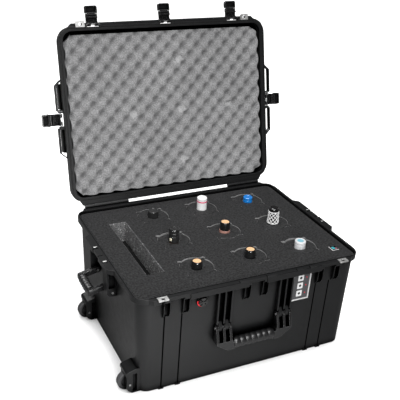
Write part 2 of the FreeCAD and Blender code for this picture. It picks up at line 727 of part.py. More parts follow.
def write_latches():
    places = [("latch_front_left", 0, LATCH_X[0]), ("latch_front_middle", 0, LATCH_X[1])]
    places += [("latch_front_right", 0, LATCH_X[2]), ("latch_left", -1, 0), ("latch_right", 1, 0)]
    for name, sign, x in places:
        face = SIDE_FACE if sign else FLANGE_Y
        write(name + "_body", open_latch(latch_body_closed(face), sign, x))
        write(name + "_lever", open_latch(latch_lever_closed(face), sign, x))


# ---------------------------------------------------------------- handles

def end_handle(sign, hanging):
    """An end handle for the left end (sign -1), swung out, or hanging against the wall."""
    pivot = V(-PIVOT_X, 0, PIVOT_Z)
    bar_x, bar_z = -PIVOT_X - BAR_OUT, PIVOT_Z - BAR_DROP
    pieces = []
    for y0, y1 in ((-ARM_Y, -ARM_Y + 13), (ARM_Y - 1, ARM_Y + 12)):
        eye = cylinder_y(8.5, y0, y1, pivot.x, pivot.z)
        arm = prism_y(ARM_PROFILE, y0, y1)
        pieces += [eye, arm]
    bar = rounded_prism(10.0, 9.5, 5.0, -ARM_Y, ARM_Y + 12)
    bar = bar.rotate(V(0, 0, 0), X_AXIS, -90).translated(V(bar_x, 0, bar_z))
    bar = round_edges(bar, 4.0, lambda e: e.BoundBox.YLength < 0.1)
    handle = fuse(pieces + [bar])
    holes = [cylinder_y(HANDLE_PIN_R + FIT, -60, 70, pivot.x, pivot.z)]
    handle = cut(handle, holes)
    if hanging:
        handle = handle.rotate(pivot, Y_AXIS, -HANG_ANGLE)
    return mirrored(handle, -sign)


def front_handle():
    pieces = []
    for sign in (-1, 1):
        for x in FRONT_PLATES:
            eye = cylinder_x(7.8, sign * x - 3.3, sign * x + 3.3, FRONT_PIVOT_Y, FRONT_PIVOT_Z)
            outline = [(-253.0, 163), (-267.8, 163), (-277, 128), (-277, 98), (-254, 98)]
            plate = prism_x(outline, sign * x - 3.3, sign * x + 3.3)
            pieces += [eye, plate]
        pieces.append(box(sign * 66, sign * 114.3, -277, -254, 97, 126))
        pieces.append(box(sign * 56, sign * 70, -277, -254, 98, 121))
    arms = fuse(pieces)
    for sign in (-1, 1):
        outline = [(sign * 116, 90), (sign * 116, 122), (sign * 80, 96.5), (sign * 80, 90)]
        corner = prism_y(outline, -290, -240)
        arms = arms.cut(corner)
    grip = cylinder_x(14.0, -62, 62, FRONT_BAR_Y, FRONT_BAR_Z)
    grip = round_edges(grip, 3.0, lambda e: e.BoundBox.XLength < 0.1)
    handle = fuse([arms, grip])
    hole = cylinder_x(HANDLE_PIN_R + FIT, -130, 130, FRONT_PIVOT_Y, FRONT_PIVOT_Z)
    return handle.cut(hole)


# ---------------------------------------------------------------- wheels and trolley handle

def wheel(y):
    half = WHEEL_WIDTH / 2
    tyre = cylinder_y(WHEEL_R, y - half, y + half, WHEEL_X, WHEEL_Z)
    tyre = round_edges(tyre, 3.5, lambda e: e.BoundBox.YLength < 0.1)
    cuts = [cylinder_y(AXLE_R + FIT, y - 30, y + 30, WHEEL_X, WHEEL_Z)]
    for end in (-1, 1):
        face = y + end * half
        low = min(face, face - end * 3.0)
        dish = cylinder_y(18.0, low, low + 3.0, WHEEL_X, WHEEL_Z)
        cuts.append(dish.cut(cylinder_y(7.0, low - 1, low + 4, WHEEL_X, WHEEL_Z)))
    return cut(tyre, cuts)


def trolley_tubes(half_y, half_z, wall, x0, x1):
    tubes = []
    for sign in (-1, 1):
        y = sign * TUBE_Y
        outer = box(x0, x1, y - half_y, y + half_y, TUBE_Z - half_z, TUBE_Z + half_z)
        bore = box(x0 - 1, x1 + 1, y - half_y + wall, y + half_y - wall,
                   TUBE_Z - half_z + wall, TUBE_Z + half_z - wall)
        tubes.append(outer.cut(bore))
    return Part.makeCompound(tubes)


def trolley_grip():
    grip = rounded_prism(11.5, 98.0, 9.0, 7.0, 31.0, 333.0, 0.0)
    grip = round_edges(grip, 4.0, lambda e: e.BoundBox.ZLength < 0.1)
    window = rounded_prism(30.0, 52.0, 8.0, 0.0, 40.0, 299.0, 0.0)
    return grip.cut(window).cut(box(340.0, 350, -15.3, 15.3, 12.7, 25.3))


def trolley_button():
    button = box(343.2, 347.5, -15, 15, 13, 25)
    return round_edges(button, 1.5, lambda e: e.BoundBox.XMin > 347.4)


# ---------------------------------------------------------------- foam and bottles

def well_prism(x, y, r, notch, z0, z1):
    """A round well with four finger notches on its diagonals."""
    shapes = [cylinder_z(r, z0, z1, x, y)]
    for k in range(4):
        a = math.radians(45 + 90 * k)
        shapes.append(cylinder_z(notch, z0, z1, x + NOTCH_PLACE * math.cos(a), y + NOTCH_PLACE * math.sin(a)))
    return fuse(shapes)


def foam_block():
    """Foam that fills the drafted tub, with a sheet on top that covers the rim's ledge."""
    rim = [size + FOAM_DRAFT for size in FOAM_FOOT]
    block = drafted_block((*FOAM_FOOT, FOAM_BOTTOM), (*rim, RIM_BOTTOM + 3))
    sheet = rounded_prism(*FOAM_SHEET, RIM_BOTTOM + 2.2, FOAM_TOP)
    return fuse([block, sheet])


def base_foam():
    """The main foam block, with nine notched wells."""
    cuts = [box(-400, FOAM_SEAM_X + 0.1, -300, 300, 0, 320)]
    for _, column, row, _, _, _, _ in BOTTLES:
        x, y = COLUMNS[column], ROWS[row]
        cuts.append(cylinder_z(WELL_R, WELL_FLOOR, FOAM_TOP + 5, x, y))
        cuts.append(well_prism(x, y, WELL_R, NOTCH_RADIUS, COLLAR_BOTTOM - 6, FOAM_TOP + 5))
    return cut(foam_block(), cuts)


def base_foam_end():
    """The foam block at the wheel end, with the tool slot and room for the wheel housings."""
    cuts = [box(FOAM_SEAM_X - 0.1, 400, -300, 300, 0, 320), box(*TOOL_SLOT, FOAM_TOP + 5)]
    cuts += [box(-330, -299, y - 21, y + 21, 30, 74) for y in WHEEL_Y]
    return cut(foam_block(), cuts)


def bottle_glass(x, y, neck_top):
    base = WELL_FLOOR + 0.5
    r = BOTTLE_R
    outer = [(0, base), (r - 5, base), (r, base + 5), (r, 205), (r - 4, 225), (NECK_R + 6, 245)]
    outer += [(NECK_R, 262), (NECK_R, neck_top), (NECK_R - 2.5, neck_top)]
    inner = [(NECK_R - 2.5, 261), (NECK_R + 3, 243), (r - 7.5, 222), (r - 3.5, 203), (r - 3.5, base + 8)]
    inner += [(0, base + 6)]
    points = [V(px, 0, pz) for px, pz in outer + inner]
    face = Part.Face(Part.makePolygon(points + points[:1]))
    return face.revolve(V(0, 0, 0), Z_AXIS, 360).translated(V(x, y, 0))


def bottle_cap(x, y, r, top, length):
    cap = cylinder_z(r, top - length, top, x, y)
    cap = round_edges(cap, 1.6, lambda e: e.BoundBox.ZMin > top - 0.1)
    bore = cylinder_z(NECK_R + 0.2, top - length - 1, top - 2.5, x, y)
    return cap.cut(bore)


def bottle_collar(x, y, drop):
    r, notch = WELL_R - COLLAR_GAP, NOTCH_RADIUS - COLLAR_GAP
    collar = well_prism(x, y, r, notch, COLLAR_BOTTOM - drop, FOAM_TOP - drop)
    return collar.cut(cylinder_z(17.2, COLLAR_BOTTOM - 9, FOAM_TOP + 5, x, y))


def write_bottles():
    for name, column, row, r, height, length, drop in BOTTLES:
        x, y = COLUMNS[column], ROWS[row]
        top = FOAM_TOP + height
        write(name + "_glass", bottle_glass(x, y, top - 3))
        write(name + "_cap", bottle_cap(x, y, r, top, length))
        write(name + "_collar", bottle_collar(x, y, drop))


# ---------------------------------------------------------------- output

def main():
    os.makedirs("parts", exist_ok=True)
    write("base_shell", base_shell())
    write("base_foam", base_foam())
    write("base_foam_end", base_foam_end())
    write("pressure_valve", pressure_valve())
    write("label_frame", label_frame())
    write("label_card", label_card())
    write("base_padlock_plates", padlock_plates(293.4, RIM_TOP))
    write("hinge_pins", hinge_pins())
    write("handle_pins_and_axles", handle_pins_and_axles())
    write("trolley_outer_tubes", trolley_tubes(12, 9, 1.5, -286, 316))
    write("trolley_inner_tubes", trolley_tubes(10, 7, 1.5, -270, 321))
    write("trolley_grip", trolley_grip())
    write("trolley_button", trolley_button())
    write("lid_shell", swing_lid(lid_shell_closed()))
    write("lid_foam", swing_lid(lid_foam_closed()))
    gasket = gasket_ring(GROOVE_WIDTH - 0.2, LID_BOTTOM + 1.4, LID_BOTTOM + GROOVE_DEPTH - 0.1)
    write("lid_gasket", swing_lid(gasket))
    write("lid_padlock_plates", swing_lid(padlock_plates(296.9, FLANGE_BOTTOM)))
    write("latch_pins", swing_lid(Part.makeCompound(latch_pin_bars(LATCH_PIN_R, 23))))
    write_latches()
    write("left_handle", end_handle(-1, False))
    write("right_handle", end_handle(1, True))
    write("front_handle", front_handle())
    write("front_wheel", wheel(WHEEL_Y[0]))
    write("rear_wheel", wheel(WHEEL_Y[1]))
    write_bottles()


main()
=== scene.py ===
import bpy
import json
import math
import numpy as np
from mathutils import Matrix, Vector, geometry, noise


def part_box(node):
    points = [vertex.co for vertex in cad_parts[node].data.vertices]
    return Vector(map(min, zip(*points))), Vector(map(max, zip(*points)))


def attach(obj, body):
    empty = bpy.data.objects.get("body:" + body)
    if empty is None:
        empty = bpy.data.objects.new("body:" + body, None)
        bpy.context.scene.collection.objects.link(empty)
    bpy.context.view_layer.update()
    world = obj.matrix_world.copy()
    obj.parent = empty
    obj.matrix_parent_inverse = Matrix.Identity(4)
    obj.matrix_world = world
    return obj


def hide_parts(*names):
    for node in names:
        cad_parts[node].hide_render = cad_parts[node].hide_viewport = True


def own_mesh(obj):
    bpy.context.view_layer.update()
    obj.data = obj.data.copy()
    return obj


# Looks for the wheeled transport case with nine bottles. Coordinates are millimetres in the part's frame
# and become metres where a mesh is made.

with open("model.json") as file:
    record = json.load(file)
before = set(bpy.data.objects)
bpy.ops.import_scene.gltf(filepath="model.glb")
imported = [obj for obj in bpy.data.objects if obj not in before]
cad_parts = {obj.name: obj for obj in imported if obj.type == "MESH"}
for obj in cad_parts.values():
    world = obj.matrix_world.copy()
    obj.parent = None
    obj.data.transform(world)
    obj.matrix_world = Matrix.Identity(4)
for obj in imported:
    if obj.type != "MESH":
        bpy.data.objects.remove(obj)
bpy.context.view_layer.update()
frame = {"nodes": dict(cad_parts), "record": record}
MM = 0.001
noise.seed_set(5)      # noise_vector is offset by the clock unless it is seeded


# ---- finishes

def new_finish(name, color, roughness, metallic=0.0, specular=0.5):
    finish = bpy.data.materials.new(name)
    finish.use_nodes = True
    shader = finish.node_tree.nodes["Principled BSDF"]
    shader.inputs["Base Color"].default_value = (*color, 1.0)
    shader.inputs["Roughness"].default_value = roughness
    shader.inputs["Metallic"].default_value = metallic
    shader.inputs["Specular IOR Level"].default_value = specular
    finish.diffuse_color = (*color, 1.0)
    return finish


def grey(value):
    return (value, value, value)


def node(finish, kind, **values):
    made = finish.node_tree.nodes.new(kind)
    for key, value in values.items():
        if key in made.inputs:
            made.inputs[key].default_value = value
        else:
            setattr(made, key, value)
    return made


def link(finish, source, target):
    finish.node_tree.links.new(source, target)


def shader_of(finish):
    return finish.node_tree.nodes["Principled BSDF"]


def feed(finish, value, socket):
    """Puts a number, a colour or a vector in a socket, or links another node's output to it."""
    if isinstance(value, (int, float)):
        socket.default_value = value
    elif isinstance(value, tuple):
        socket.default_value = (*value, 1.0) if socket.type == "RGBA" else value
    else:
        link(finish, value, socket)


def math_node(finish, kind, operation, values):
    made = node(finish, kind, operation=operation)
    for value, socket in zip(values, made.inputs):
        feed(finish, value, socket)
    return made


def compute(finish, operation, *values):
    """The result of one math node."""
    return math_node(finish, "ShaderNodeMath", operation, values).outputs[0]


def vector_node(finish, operation, *values):
    """One vector math node, whose result is its Vector or its Value."""
    return math_node(finish, "ShaderNodeVectorMath", operation, values)


def remap(finish, value, start, end, low=0.0, high=1.0):
    """Carries start..end over to low..high, and keeps to those limits."""
    spread = node(finish, "ShaderNodeMapRange")
    for name, number in (("From Min", start), ("From Max", end), ("To Min", low), ("To Max", high)):
        spread.inputs[name].default_value = number
    link(finish, value, spread.inputs["Value"])
    return spread.outputs["Result"]


def coordinates(finish, stretch=(1.0, 1.0, 1.0)):
    place = node(finish, "ShaderNodeTexCoord")
    mapping = node(finish, "ShaderNodeMapping")
    mapping.inputs["Scale"].default_value = stretch
    link(finish, place.outputs["Object"], mapping.inputs["Vector"])
    return mapping.outputs["Vector"]


def noise_value(finish, scale, detail=2.0, stretch=(1.0, 1.0, 1.0)):
    texture = node(finish, "ShaderNodeTexNoise", Scale=scale, Detail=detail)
    link(finish, coordinates(finish, stretch), texture.inputs["Vector"])
    return texture.outputs["Fac"]


def ramp(finish, value, stops):
    made = node(finish, "ShaderNodeValToRGB")
    elements = made.color_ramp.elements
    while len(elements) < len(stops):
        elements.new(0.5)
    for element, (place, color) in zip(elements, stops):
        element.position = place
        element.color = (*color, 1.0) if len(color) == 3 else color
    link(finish, value, made.inputs["Fac"])
    return made.outputs["Color"]


def mix(finish, factor, first, second, mode="MIX"):
    made = node(finish, "ShaderNodeMix", data_type="RGBA", blend_type=mode)
    for value, socket in ((factor, made.inputs[0]), (first, made.inputs[6]), (second, made.inputs[7])):
        feed(finish, value, socket)
    return made.outputs[2]


def paint(finish, color):
    link(finish, color, shader_of(finish).inputs["Base Color"])


def paint_so_far(finish):
    return shader_of(finish).inputs["Base Color"].links[0].from_socket


def dim_sheen(finish, share):
    """Multiplies the sheen, whether it is a plain number or already comes from a node."""
    sheen = shader_of(finish).inputs["Specular IOR Level"]
    so_far = sheen.links[0].from_socket if sheen.links else sheen.default_value
    link(finish, compute(finish, "MULTIPLY", share, so_far), sheen)


def roughen(finish, value, low, high):
    link(finish, remap(finish, value, 0.0, 1.0, low, high), shader_of(finish).inputs["Roughness"])


def soft_normal(finish, radius_mm):
    """The normal as it is with every edge rounded off."""
    return node(finish, "ShaderNodeBevel", samples=6, Radius=radius_mm * MM).outputs["Normal"]


def bump(finish, value, strength, depth_mm, soft_edge_mm=0.0):
    made = node(finish, "ShaderNodeBump", Strength=strength, Distance=depth_mm * MM)
    link(finish, value, made.inputs["Height"])
    if soft_edge_mm:
        link(finish, soft_normal(finish, soft_edge_mm), made.inputs["Normal"])
    link(finish, made.outputs["Normal"], shader_of(finish).inputs["Normal"])


def edge_wear_and_highlight(finish, base, worn_and_lit, radius_mm, amount):
    """Lightens sharp outer edges, partly as wear and partly as a painted highlight: where the softened
    normal leaves the true one.
    """
    true = node(finish, "ShaderNodeNewGeometry").outputs["Normal"]
    agree = vector_node(finish, "DOT_PRODUCT", soft_normal(finish, radius_mm), true).outputs["Value"]
    return mix(finish, remap(finish, agree, 0.98, 0.80, 0.0, amount), base, worn_and_lit)


def sky_in_view(finish, reach, samples, shut, clear, floor):
    """1 in the open, falling to floor where things within reach (in metres) hide the sky."""
    sky = node(finish, "ShaderNodeAmbientOcclusion", samples=samples, Distance=reach)
    return remap(finish, sky.outputs["AO"], shut, clear, floor)


def shade_recesses(finish, reach_mm, floor):
    """Deep corners and slots stay dark: dims the paint and the sheen where little sky is in view."""
    share = sky_in_view(finish, reach_mm * MM, 8, 0.45, 0.85, floor)
    paint(finish, mix(finish, 1.0, paint_so_far(finish), share, "MULTIPLY"))
    dim_sheen(finish, share)


def moulded_plastic(name, dark, light, roughness, soft_edge_mm=0.8, wear_and_glint=0.35, specular=0.5, edge=0.05):
    """Moulded plastic: slight mottling, a fine spark-eroded grain, edges lightened as wear and as a painted
    highlight, and painted shade in deep corners.
    """
    finish = new_finish(name, dark, roughness, specular=specular)
    color = ramp(finish, noise_value(finish, 14.0, 4.0), [(0.3, dark), (0.7, light)])
    # The lighter edge colour is wear and a painted highlight; edge lifts it further for painted glints.
    worn_and_lit = tuple(min(1.0, c * 2.2 + edge) for c in light)
    paint(finish, edge_wear_and_highlight(finish, color, worn_and_lit, soft_edge_mm, wear_and_glint))
    roughen(finish, noise_value(finish, 60.0, 3.0), roughness - 0.06, roughness + 0.08)
    bump(finish, noise_value(finish, 1400.0, 2.0), 0.5, 0.05, soft_edge_mm)
    shade_recesses(finish, 32.0, 0.03)
    return finish


PANEL_LINES = (-257.0, -209.0, 194.0, 237.0)
PANEL_TOP = 233.0


def shade_panel_lines(finish):
    """Painted shade in the upright panel lines: darkens the paint and dims the sheen close to each of them.
    """
    split = node(finish, "ShaderNodeSeparateXYZ")
    link(finish, coordinates(finish), split.inputs[0])
    sides = [compute(finish, "ADD", split.outputs["X"], -x * MM) for x in PANEL_LINES]
    offs = [compute(finish, "ABSOLUTE", side) for side in sides]
    nearest = offs[0]
    for off in offs[1:]:
        nearest = compute(finish, "MINIMUM", nearest, off)
    close = remap(finish, nearest, 1.5 * MM, 2.6 * MM, 1.0, 0.0)
    below_top = compute(finish, "LESS_THAN", split.outputs["Z"], PANEL_TOP * MM)
    line_shade = compute(finish, "MULTIPLY", close, below_top)
    # painted shade: near-black paint in each line
    paint(finish, mix(finish, line_shade, paint_so_far(finish), grey(0.001)))
    dim_sheen(finish, compute(finish, "SUBTRACT", 1.0, line_shade))


def foam_finish(name, dark, light, cell_scale, depth_mm, speckle=None):
    """Foam: dull, grainy, with cells that show as small light and dark flecks."""
    finish = new_finish(name, dark, 0.95, specular=0.15)
    fine = noise_value(finish, cell_scale, 3.0)
    color = ramp(finish, fine, [(0.34, dark), (0.66, light)])
    broad = noise_value(finish, 9.0, 3.0)
    shade = ramp(finish, broad, [(0.3, grey(0.86)), (0.7, grey(1.0))])
    color = mix(finish, 1.0, color, shade, "MULTIPLY")
    if speckle:
        cells = noise_value(finish, cell_scale * 0.7, 1.0)
        where = ramp(finish, cells, [(0.62, grey(0.0)), (0.70, grey(1.0))])
        color = mix(finish, where, color, speckle)
    paint(finish, color)
    shader_of(finish).inputs["Sheen Weight"].default_value = 0.05
    bump(finish, fine, 0.6, depth_mm)
    return finish


def glossy_plastic(name, color, roughness=0.22, soft_edge_mm=0.5, coat=0.0, mottle=0.12):
    finish = new_finish(name, color, roughness)
    dim = tuple(c * (1.0 - mottle) for c in color)
    paint(finish, ramp(finish, noise_value(finish, 120.0, 2.0), [(0.35, dim), (0.65, color)]))
    roughen(finish, noise_value(finish, 300.0, 2.0), roughness - 0.04, roughness + 0.06)
    shader_of(finish).inputs["Coat Weight"].default_value = coat
    bump(finish, noise_value(finish, 900.0, 1.0), 0.2, 0.03, soft_edge_mm)
    return finish


def metal(name, color, roughness, stretch=(1.0, 1.0, 1.0), soft_edge_mm=0.4):
    """Bare metal with brushing that runs along one axis and faint stains."""
    finish = new_finish(name, color, roughness, metallic=1.0)
    dim = tuple(c * 0.72 for c in color)
    stain = noise_value(finish, 90.0, 4.0)
    paint(finish, ramp(finish, stain, [(0.3, dim), (0.65, color)]))
    brushed = noise_value(finish, 500.0, 3.0, stretch)
    roughen(finish, brushed, roughness - 0.08, roughness + 0.12)
    bump(finish, brushed, 0.35, 0.05, soft_edge_mm)
    return finish


NYLON = ((0.006, 0.006, 0.0065), (0.009, 0.009, 0.0095))
# On these plastics the edge lightening paints highlights on the edges as well as wear.
CASE = moulded_plastic("case_moulded", (0.0060, 0.0062, 0.0066), (0.0085, 0.0087, 0.0092), 0.36,
                       wear_and_glint=0.55)
shade_panel_lines(CASE)
HANDLE = moulded_plastic("handle_nylon", *NYLON, 0.22, 1.0, 1.1, 0.7, edge=0.22)
LATCH = moulded_plastic("latch_nylon", *NYLON, 0.2, 0.9, 0.9, 0.7, edge=0.16)
VALVE = moulded_plastic("valve_moulded", grey(0.006), grey(0.009), 0.16, 0.9, 1.2, 0.8)
BUTTON = moulded_plastic("button_moulded", grey(0.02), grey(0.026), 0.3, 0.5)
GRIP = moulded_plastic("grip_glossy", (0.006, 0.006, 0.0065), (0.014, 0.014, 0.0145), 0.30, 0.9, 0.4, 0.7)
GASKET = moulded_plastic("gasket_rubber", grey(0.008), grey(0.012), 0.5, 0.4, 0.2)
WHEEL = moulded_plastic("wheel_tread", (0.05, 0.05, 0.052), (0.075, 0.075, 0.078), 0.6, 0.8, 0.2)
GREY_FOAM = foam_finish("foam_open_cell", (0.19, 0.19, 0.193), (0.375, 0.375, 0.378), 300.0, 0.5)
PRESSED_FOAM = foam_finish("foam_open_cell_pressed", (0.30, 0.30, 0.304), (0.50, 0.50, 0.504), 300.0, 0.5)
BLACK_FOAM = foam_finish("foam_black_skin", (0.0015, 0.0015, 0.0017), (0.036, 0.036, 0.037), 190.0, 0.5)
shader_of(BLACK_FOAM).inputs["Roughness"].default_value = 0.62
shader_of(BLACK_FOAM).inputs["Specular IOR Level"].default_value = 0.25
CUT_FOAM = foam_finish("foam_black_cut", (0.055, 0.055, 0.056), (0.22, 0.22, 0.222), 280.0, 0.7, grey(0.44))
# painted shade: the slot's floor in near-black
SLOT_FLOOR_SHADE = foam_finish("foam_black_shade", grey(0.001), grey(0.003), 300.0, 0.5)
# painted highlight: a lighter band on the rounded edge of the top sheet
SHEET_EDGE_HIGHLIGHT = foam_finish("foam_sheet_edge_highlight", (0.05, 0.05, 0.051), (0.10, 0.10, 0.101), 300.0, 0.3)
EDGE_FOAM = foam_finish("foam_cut_edge", grey(0.16), grey(0.32), 420.0, 0.4)
PLATE = metal("plate_steel", (0.95, 0.95, 0.94), 0.46, (0.2, 4.0, 1.0))
PIN = metal("pin_steel", grey(0.62), 0.28, (0.2, 4.0, 4.0))
TUBE = metal("tube_aluminium", (0.60, 0.60, 0.61), 0.36, (0.1, 4.0, 4.0))
FRAME = glossy_plastic("label_border", grey(0.62), 0.4)
CARD = glossy_plastic("label_grey", (0.075, 0.075, 0.078), 0.5)
PRINT_WHITE = glossy_plastic("print_white", grey(0.85), 0.5)
PRINT_BLACK = glossy_plastic("print_black", grey(0.01), 0.5)
PRINT_RED = glossy_plastic("print_red", (0.62, 0.03, 0.05), 0.5)
RED_RUBBER = glossy_plastic("ring_red", (0.70, 0.02, 0.03), 0.35)
CAP_BLACK = glossy_plastic("cap_black", grey(0.006), 0.13, 0.6, 1.0)
CAP_SATIN = glossy_plastic("cap_black_satin", grey(0.016), 0.3, 0.6, 0.5)
CAP_WHITE = glossy_plastic("cap_white", grey(0.86), 0.32, 0.6, mottle=0.04)
CAP_PINK = glossy_plastic("cap_pink_ring", (0.80, 0.10, 0.20), 0.35)
CAP_BLUE = glossy_plastic("cap_blue_foil", (0.008, 0.20, 0.62), 0.18, 0.6, 0.6)
CAP_GOLD = glossy_plastic("cap_gold_disc", (0.88, 0.55, 0.30), 0.35, 0.4, mottle=0.08)
CAP_COPPER = glossy_plastic("cap_copper_band", (0.42, 0.22, 0.18), 0.3, 0.4)
CAP_SILVER = glossy_plastic("cap_silver", (0.66, 0.67, 0.68), 0.26, 0.6, mottle=0.05)
CAP_PALE_BLUE = glossy_plastic("cap_pale_blue", (0.25, 0.52, 0.62), 0.3, 0.4)
CAP_CREAM = glossy_plastic("cap_cream_tab", (0.85, 0.80, 0.62), 0.4, 0.4)
GEM = glossy_plastic("gem_turquoise", (0.06, 0.42, 0.48), 0.1, 0.3, 1.0)
GEM_ROSE = glossy_plastic("gem_rose", (0.30, 0.13, 0.17), 0.1, 0.3, 1.0)
GLASS = new_finish("bottle_amber", (0.16, 0.07, 0.02), 0.08)
shader_of(GLASS).inputs["Transmission Weight"].default_value = 0.55
GLASS_STAIN = noise_value(GLASS, 25.0, 2.0)
paint(GLASS, ramp(GLASS, GLASS_STAIN, [(0.3, (0.12, 0.05, 0.015)), (0.7, (0.20, 0.09, 0.03))]))


# ---- mesh helpers

class Shell:
    """Vertices in millimetres, and faces that each carry the number of a finish."""

    def __init__(self):
        self.points = []
        self.faces = []
        self.marks = []

    def add(self, points):
        start = len(self.points)
        self.points += [tuple(p) for p in points]
        return list(range(start, len(self.points)))

    def face(self, indices, mark=0):
        self.faces.append(tuple(indices))
        self.marks.append(mark)

    def bridge(self, low, high, mark=0):
        """Joins two closed loops of equal length, both anticlockwise seen from beyond the high one."""
        n = len(low)
        for i in range(n):
            j = (i + 1) % n
            self.face((low[i], low[j], high[j], high[i]), mark)

    def fan(self, loop, tip, mark=0, flip=False):
        """Closes a loop with triangles to one new point."""
        tip = self.add([tip])[0]
        n = len(loop)
        for i in range(n):
            j = (i + 1) % n
            self.face((loop[j], loop[i], tip) if flip else (loop[i], loop[j], tip), mark)

    def join(self, rings, mark=0):
        for a, b in zip(rings, rings[1:]):
            self.bridge(a, b, mark)

    def stack(self, rings, mark=0):
        """Joins rings in order, from the first up to the last, and closes both ends with a flat face."""
        self.join(rings, mark)
        self.face(rings[-1], mark)
        self.face(rings[0][::-1], mark)


def add_object(name, data):
    made = bpy.data.objects.new(name, data)
    bpy.context.collection.objects.link(made)
    return made


def make_piece(name, shell, finishes, body, replaces=(), sharp=40.0, place=None):
    mesh = bpy.data.meshes.new(name)
    points = np.array(shell.points, float) * MM
    mesh.from_pydata(points.tolist(), [], shell.faces)
    if place is not None:
        mesh.transform(place)
    for finish in finishes:
        mesh.materials.append(finish)
    mesh.polygons.foreach_set("material_index", shell.marks)
    mesh.polygons.foreach_set("use_smooth", [True] * len(mesh.polygons))
    mesh.validate()
    mesh.set_sharp_from_angle(angle=math.radians(sharp))
    mesh.update()
    piece = add_object(name, mesh)
    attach(piece, body)
    if replaces:
        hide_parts(*replaces)
    return piece


def whole_turn(n):
    return [2 * math.pi * k / n for k in range(n)]


def circle(cx, cy, z, r, n):
    return [(cx + r * math.cos(a), cy + r * math.sin(a), z) for a in whole_turn(n)]


def between(start, end, count):
    """Evenly spaced points from start up to just before end."""
    shares = [i / count for i in range(count)]
    return [tuple(a + (b - a) * t for a, b in zip(start, end)) for t in shares]


def cut_corners(x0, x1, y0, y1, c):
    """A rectangle with its corners cut off by c, anticlockwise."""
    return [(x0 + c, y0), (x1 - c, y0), (x1, y0 + c), (x1, y1 - c),
            (x1 - c, y1), (x0 + c, y1), (x0, y1 - c), (x0, y0 + c)]


def rounded_loop(half_x, half_y, r, z):
    """A rounded rectangle as points, anticlockwise from above, with the same count for any size."""
    def corner_point(k, degrees):
        sx, sy = ((1, 1), (-1, 1), (-1, -1), (1, -1))[k % 4]
        a = math.radians(degrees)
        return (sx * (half_x - r) + r * math.cos(a), sy * (half_y - r) + r * math.sin(a), z)

    points = []
    for k, count in enumerate((80, 60, 80, 60)):
        points += [corner_point(k, 90 * k + 90 * i / 8) for i in range(9)]
        points += between(points[-1], corner_point(k + 1, 90 * k + 90), count)[1:]
    return points


def jitter(p, scale, amount):
    """A steady pseudo-random offset in millimetres for a point in millimetres."""
    v = noise.noise_vector(Vector(p) * scale)
    return (p[0] + v.x * amount, p[1] + v.y * amount, p[2] + v.z * amount)


# ---- sizes taken from the frame

def box_mm(name):
    low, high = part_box(name)
    return [c / MM for c in low], [c / MM for c in high]


LID_JOINT = [j for j in frame["record"]["behaviour"]["joints"] if j["name"] == "lid_hinge"][0]
HINGE = Vector(LID_JOINT["pos_m"])
CLOSED = math.radians(LID_JOINT["range_deg"][0])
OPEN_LID = (Matrix.Translation(HINGE) @ Matrix.Rotation(-CLOSED, 4, Vector(LID_JOINT["axis"]))
            @ Matrix.Translation(-HINGE))

WELLS = []        # the centres of the nine wells, one under each cap
for k in range(1, 10):
    low, high = box_mm("bottle_%d_cap" % k)
    WELLS.append(((low[0] + high[0]) / 2, (low[1] + high[1]) / 2))


# ---- foam insert

# the deep finish is painted shade on the slot's floor; the bevel finish is a painted highlight on the
# sheet's edge
SKIN, CUT, EDGE, DEEP_SHADE, BEVEL_HIGHLIGHT = range(5)      # the insert's finishes
FOAM_TOP = 290.0
SHEET = (328.0, 248.4, 20.0)      # half length, half width and corner of the top sheet
SHEET_RINGS = ((0.0, 284.4), (0.0, 287.2), (0.9, 289.1), (2.8, FOAM_TOP))    # inset and height of its edge
# half length, half width, corner and height of the block under it, from the sheet down
BLOCK_RINGS = ((318.7, 247.0, 30.0, 284.4), (312.4, 240.6, 25.0, 80.0), (297.5, 238.8, 18.0, 78.0),
               (297.0, 238.5, 18.0, 40.5))
WELL_R = 46.5
WELL_FLOOR = 52.0
WELL_ANGLES = [math.radians(2.25 * k) for k in range(160)]
NOTCH_R = 6.0
NOTCH_PLACE = 49.5        # from a well's centre to the centre of each finger notch
NOTCH_FLOOR = 262.0
SLOT_X = (-261.0, -212.0)
SLOT_Y = (-138.0, 157.0)
SLOT_FLOOR = 225.5
SLOT_STEP = 6.0
SPOT_STEP = 7.0           # between the top's inner points
SPOT_MARGIN = 4.0         # from those points to a hole


def well_radius(angle, gap):
    """Distance from a well's centre to its outline, with four finger notches on the diagonals."""
    off = abs(angle % (math.pi / 2) - math.pi / 4)
    r = WELL_R - gap
    across = NOTCH_PLACE * math.sin(off)
    notch = NOTCH_R - gap
    if abs(across) < notch:
        r = max(r, NOTCH_PLACE * math.cos(off) + math.sqrt(notch * notch - across * across))
    return r


def well_loop(x, y, z, gap, grow=0.0):
    loop = []
    for angle in WELL_ANGLES:
        r = well_radius(angle, gap) + grow
        loop.append((x + r * math.cos(angle), y + r * math.sin(angle), z))
    return loop


def slot_loop(z, grow=0.0):
    x0, x1 = SLOT_X[0] - grow, SLOT_X[1] + grow
    y0, y1 = SLOT_Y[0] - grow, SLOT_Y[1] + grow
    corners = [(x0, y0), (x1, y0), (x1, y1), (x0, y1)]
    counts = [int((side[1] - side[0]) / SLOT_STEP) for side in (SLOT_X, SLOT_Y)]
    loop = []
    for k, start in enumerate(corners):
        loop += [(x, y, z) for x, y in between(start, corners[(k + 1) % 4], counts[k % 2])]
    return loop


def clear_of_cuts(x, y, margin):
    for wx, wy in WELLS:
        d = math.hypot(x - wx, y - wy)
        if d < WELL_R + 12 and d < well_radius(math.atan2(y - wy, x - wx), 0) + margin:
            return False
    in_x = SLOT_X[0] - margin < x < SLOT_X[1] + margin
    in_y = SLOT_Y[0] - margin < y < SLOT_Y[1] + margin
    return not (in_x and in_y)


def sheet_height(x, y):
    """The insert's top isn't quite flat: it rises and dips by under a millimetre."""
    return 0.55 * noise.noise(Vector((x, y, 0.0)) * 0.012) + 0.16 * noise.noise(Vector((x, y, 3.0)) * 0.06)


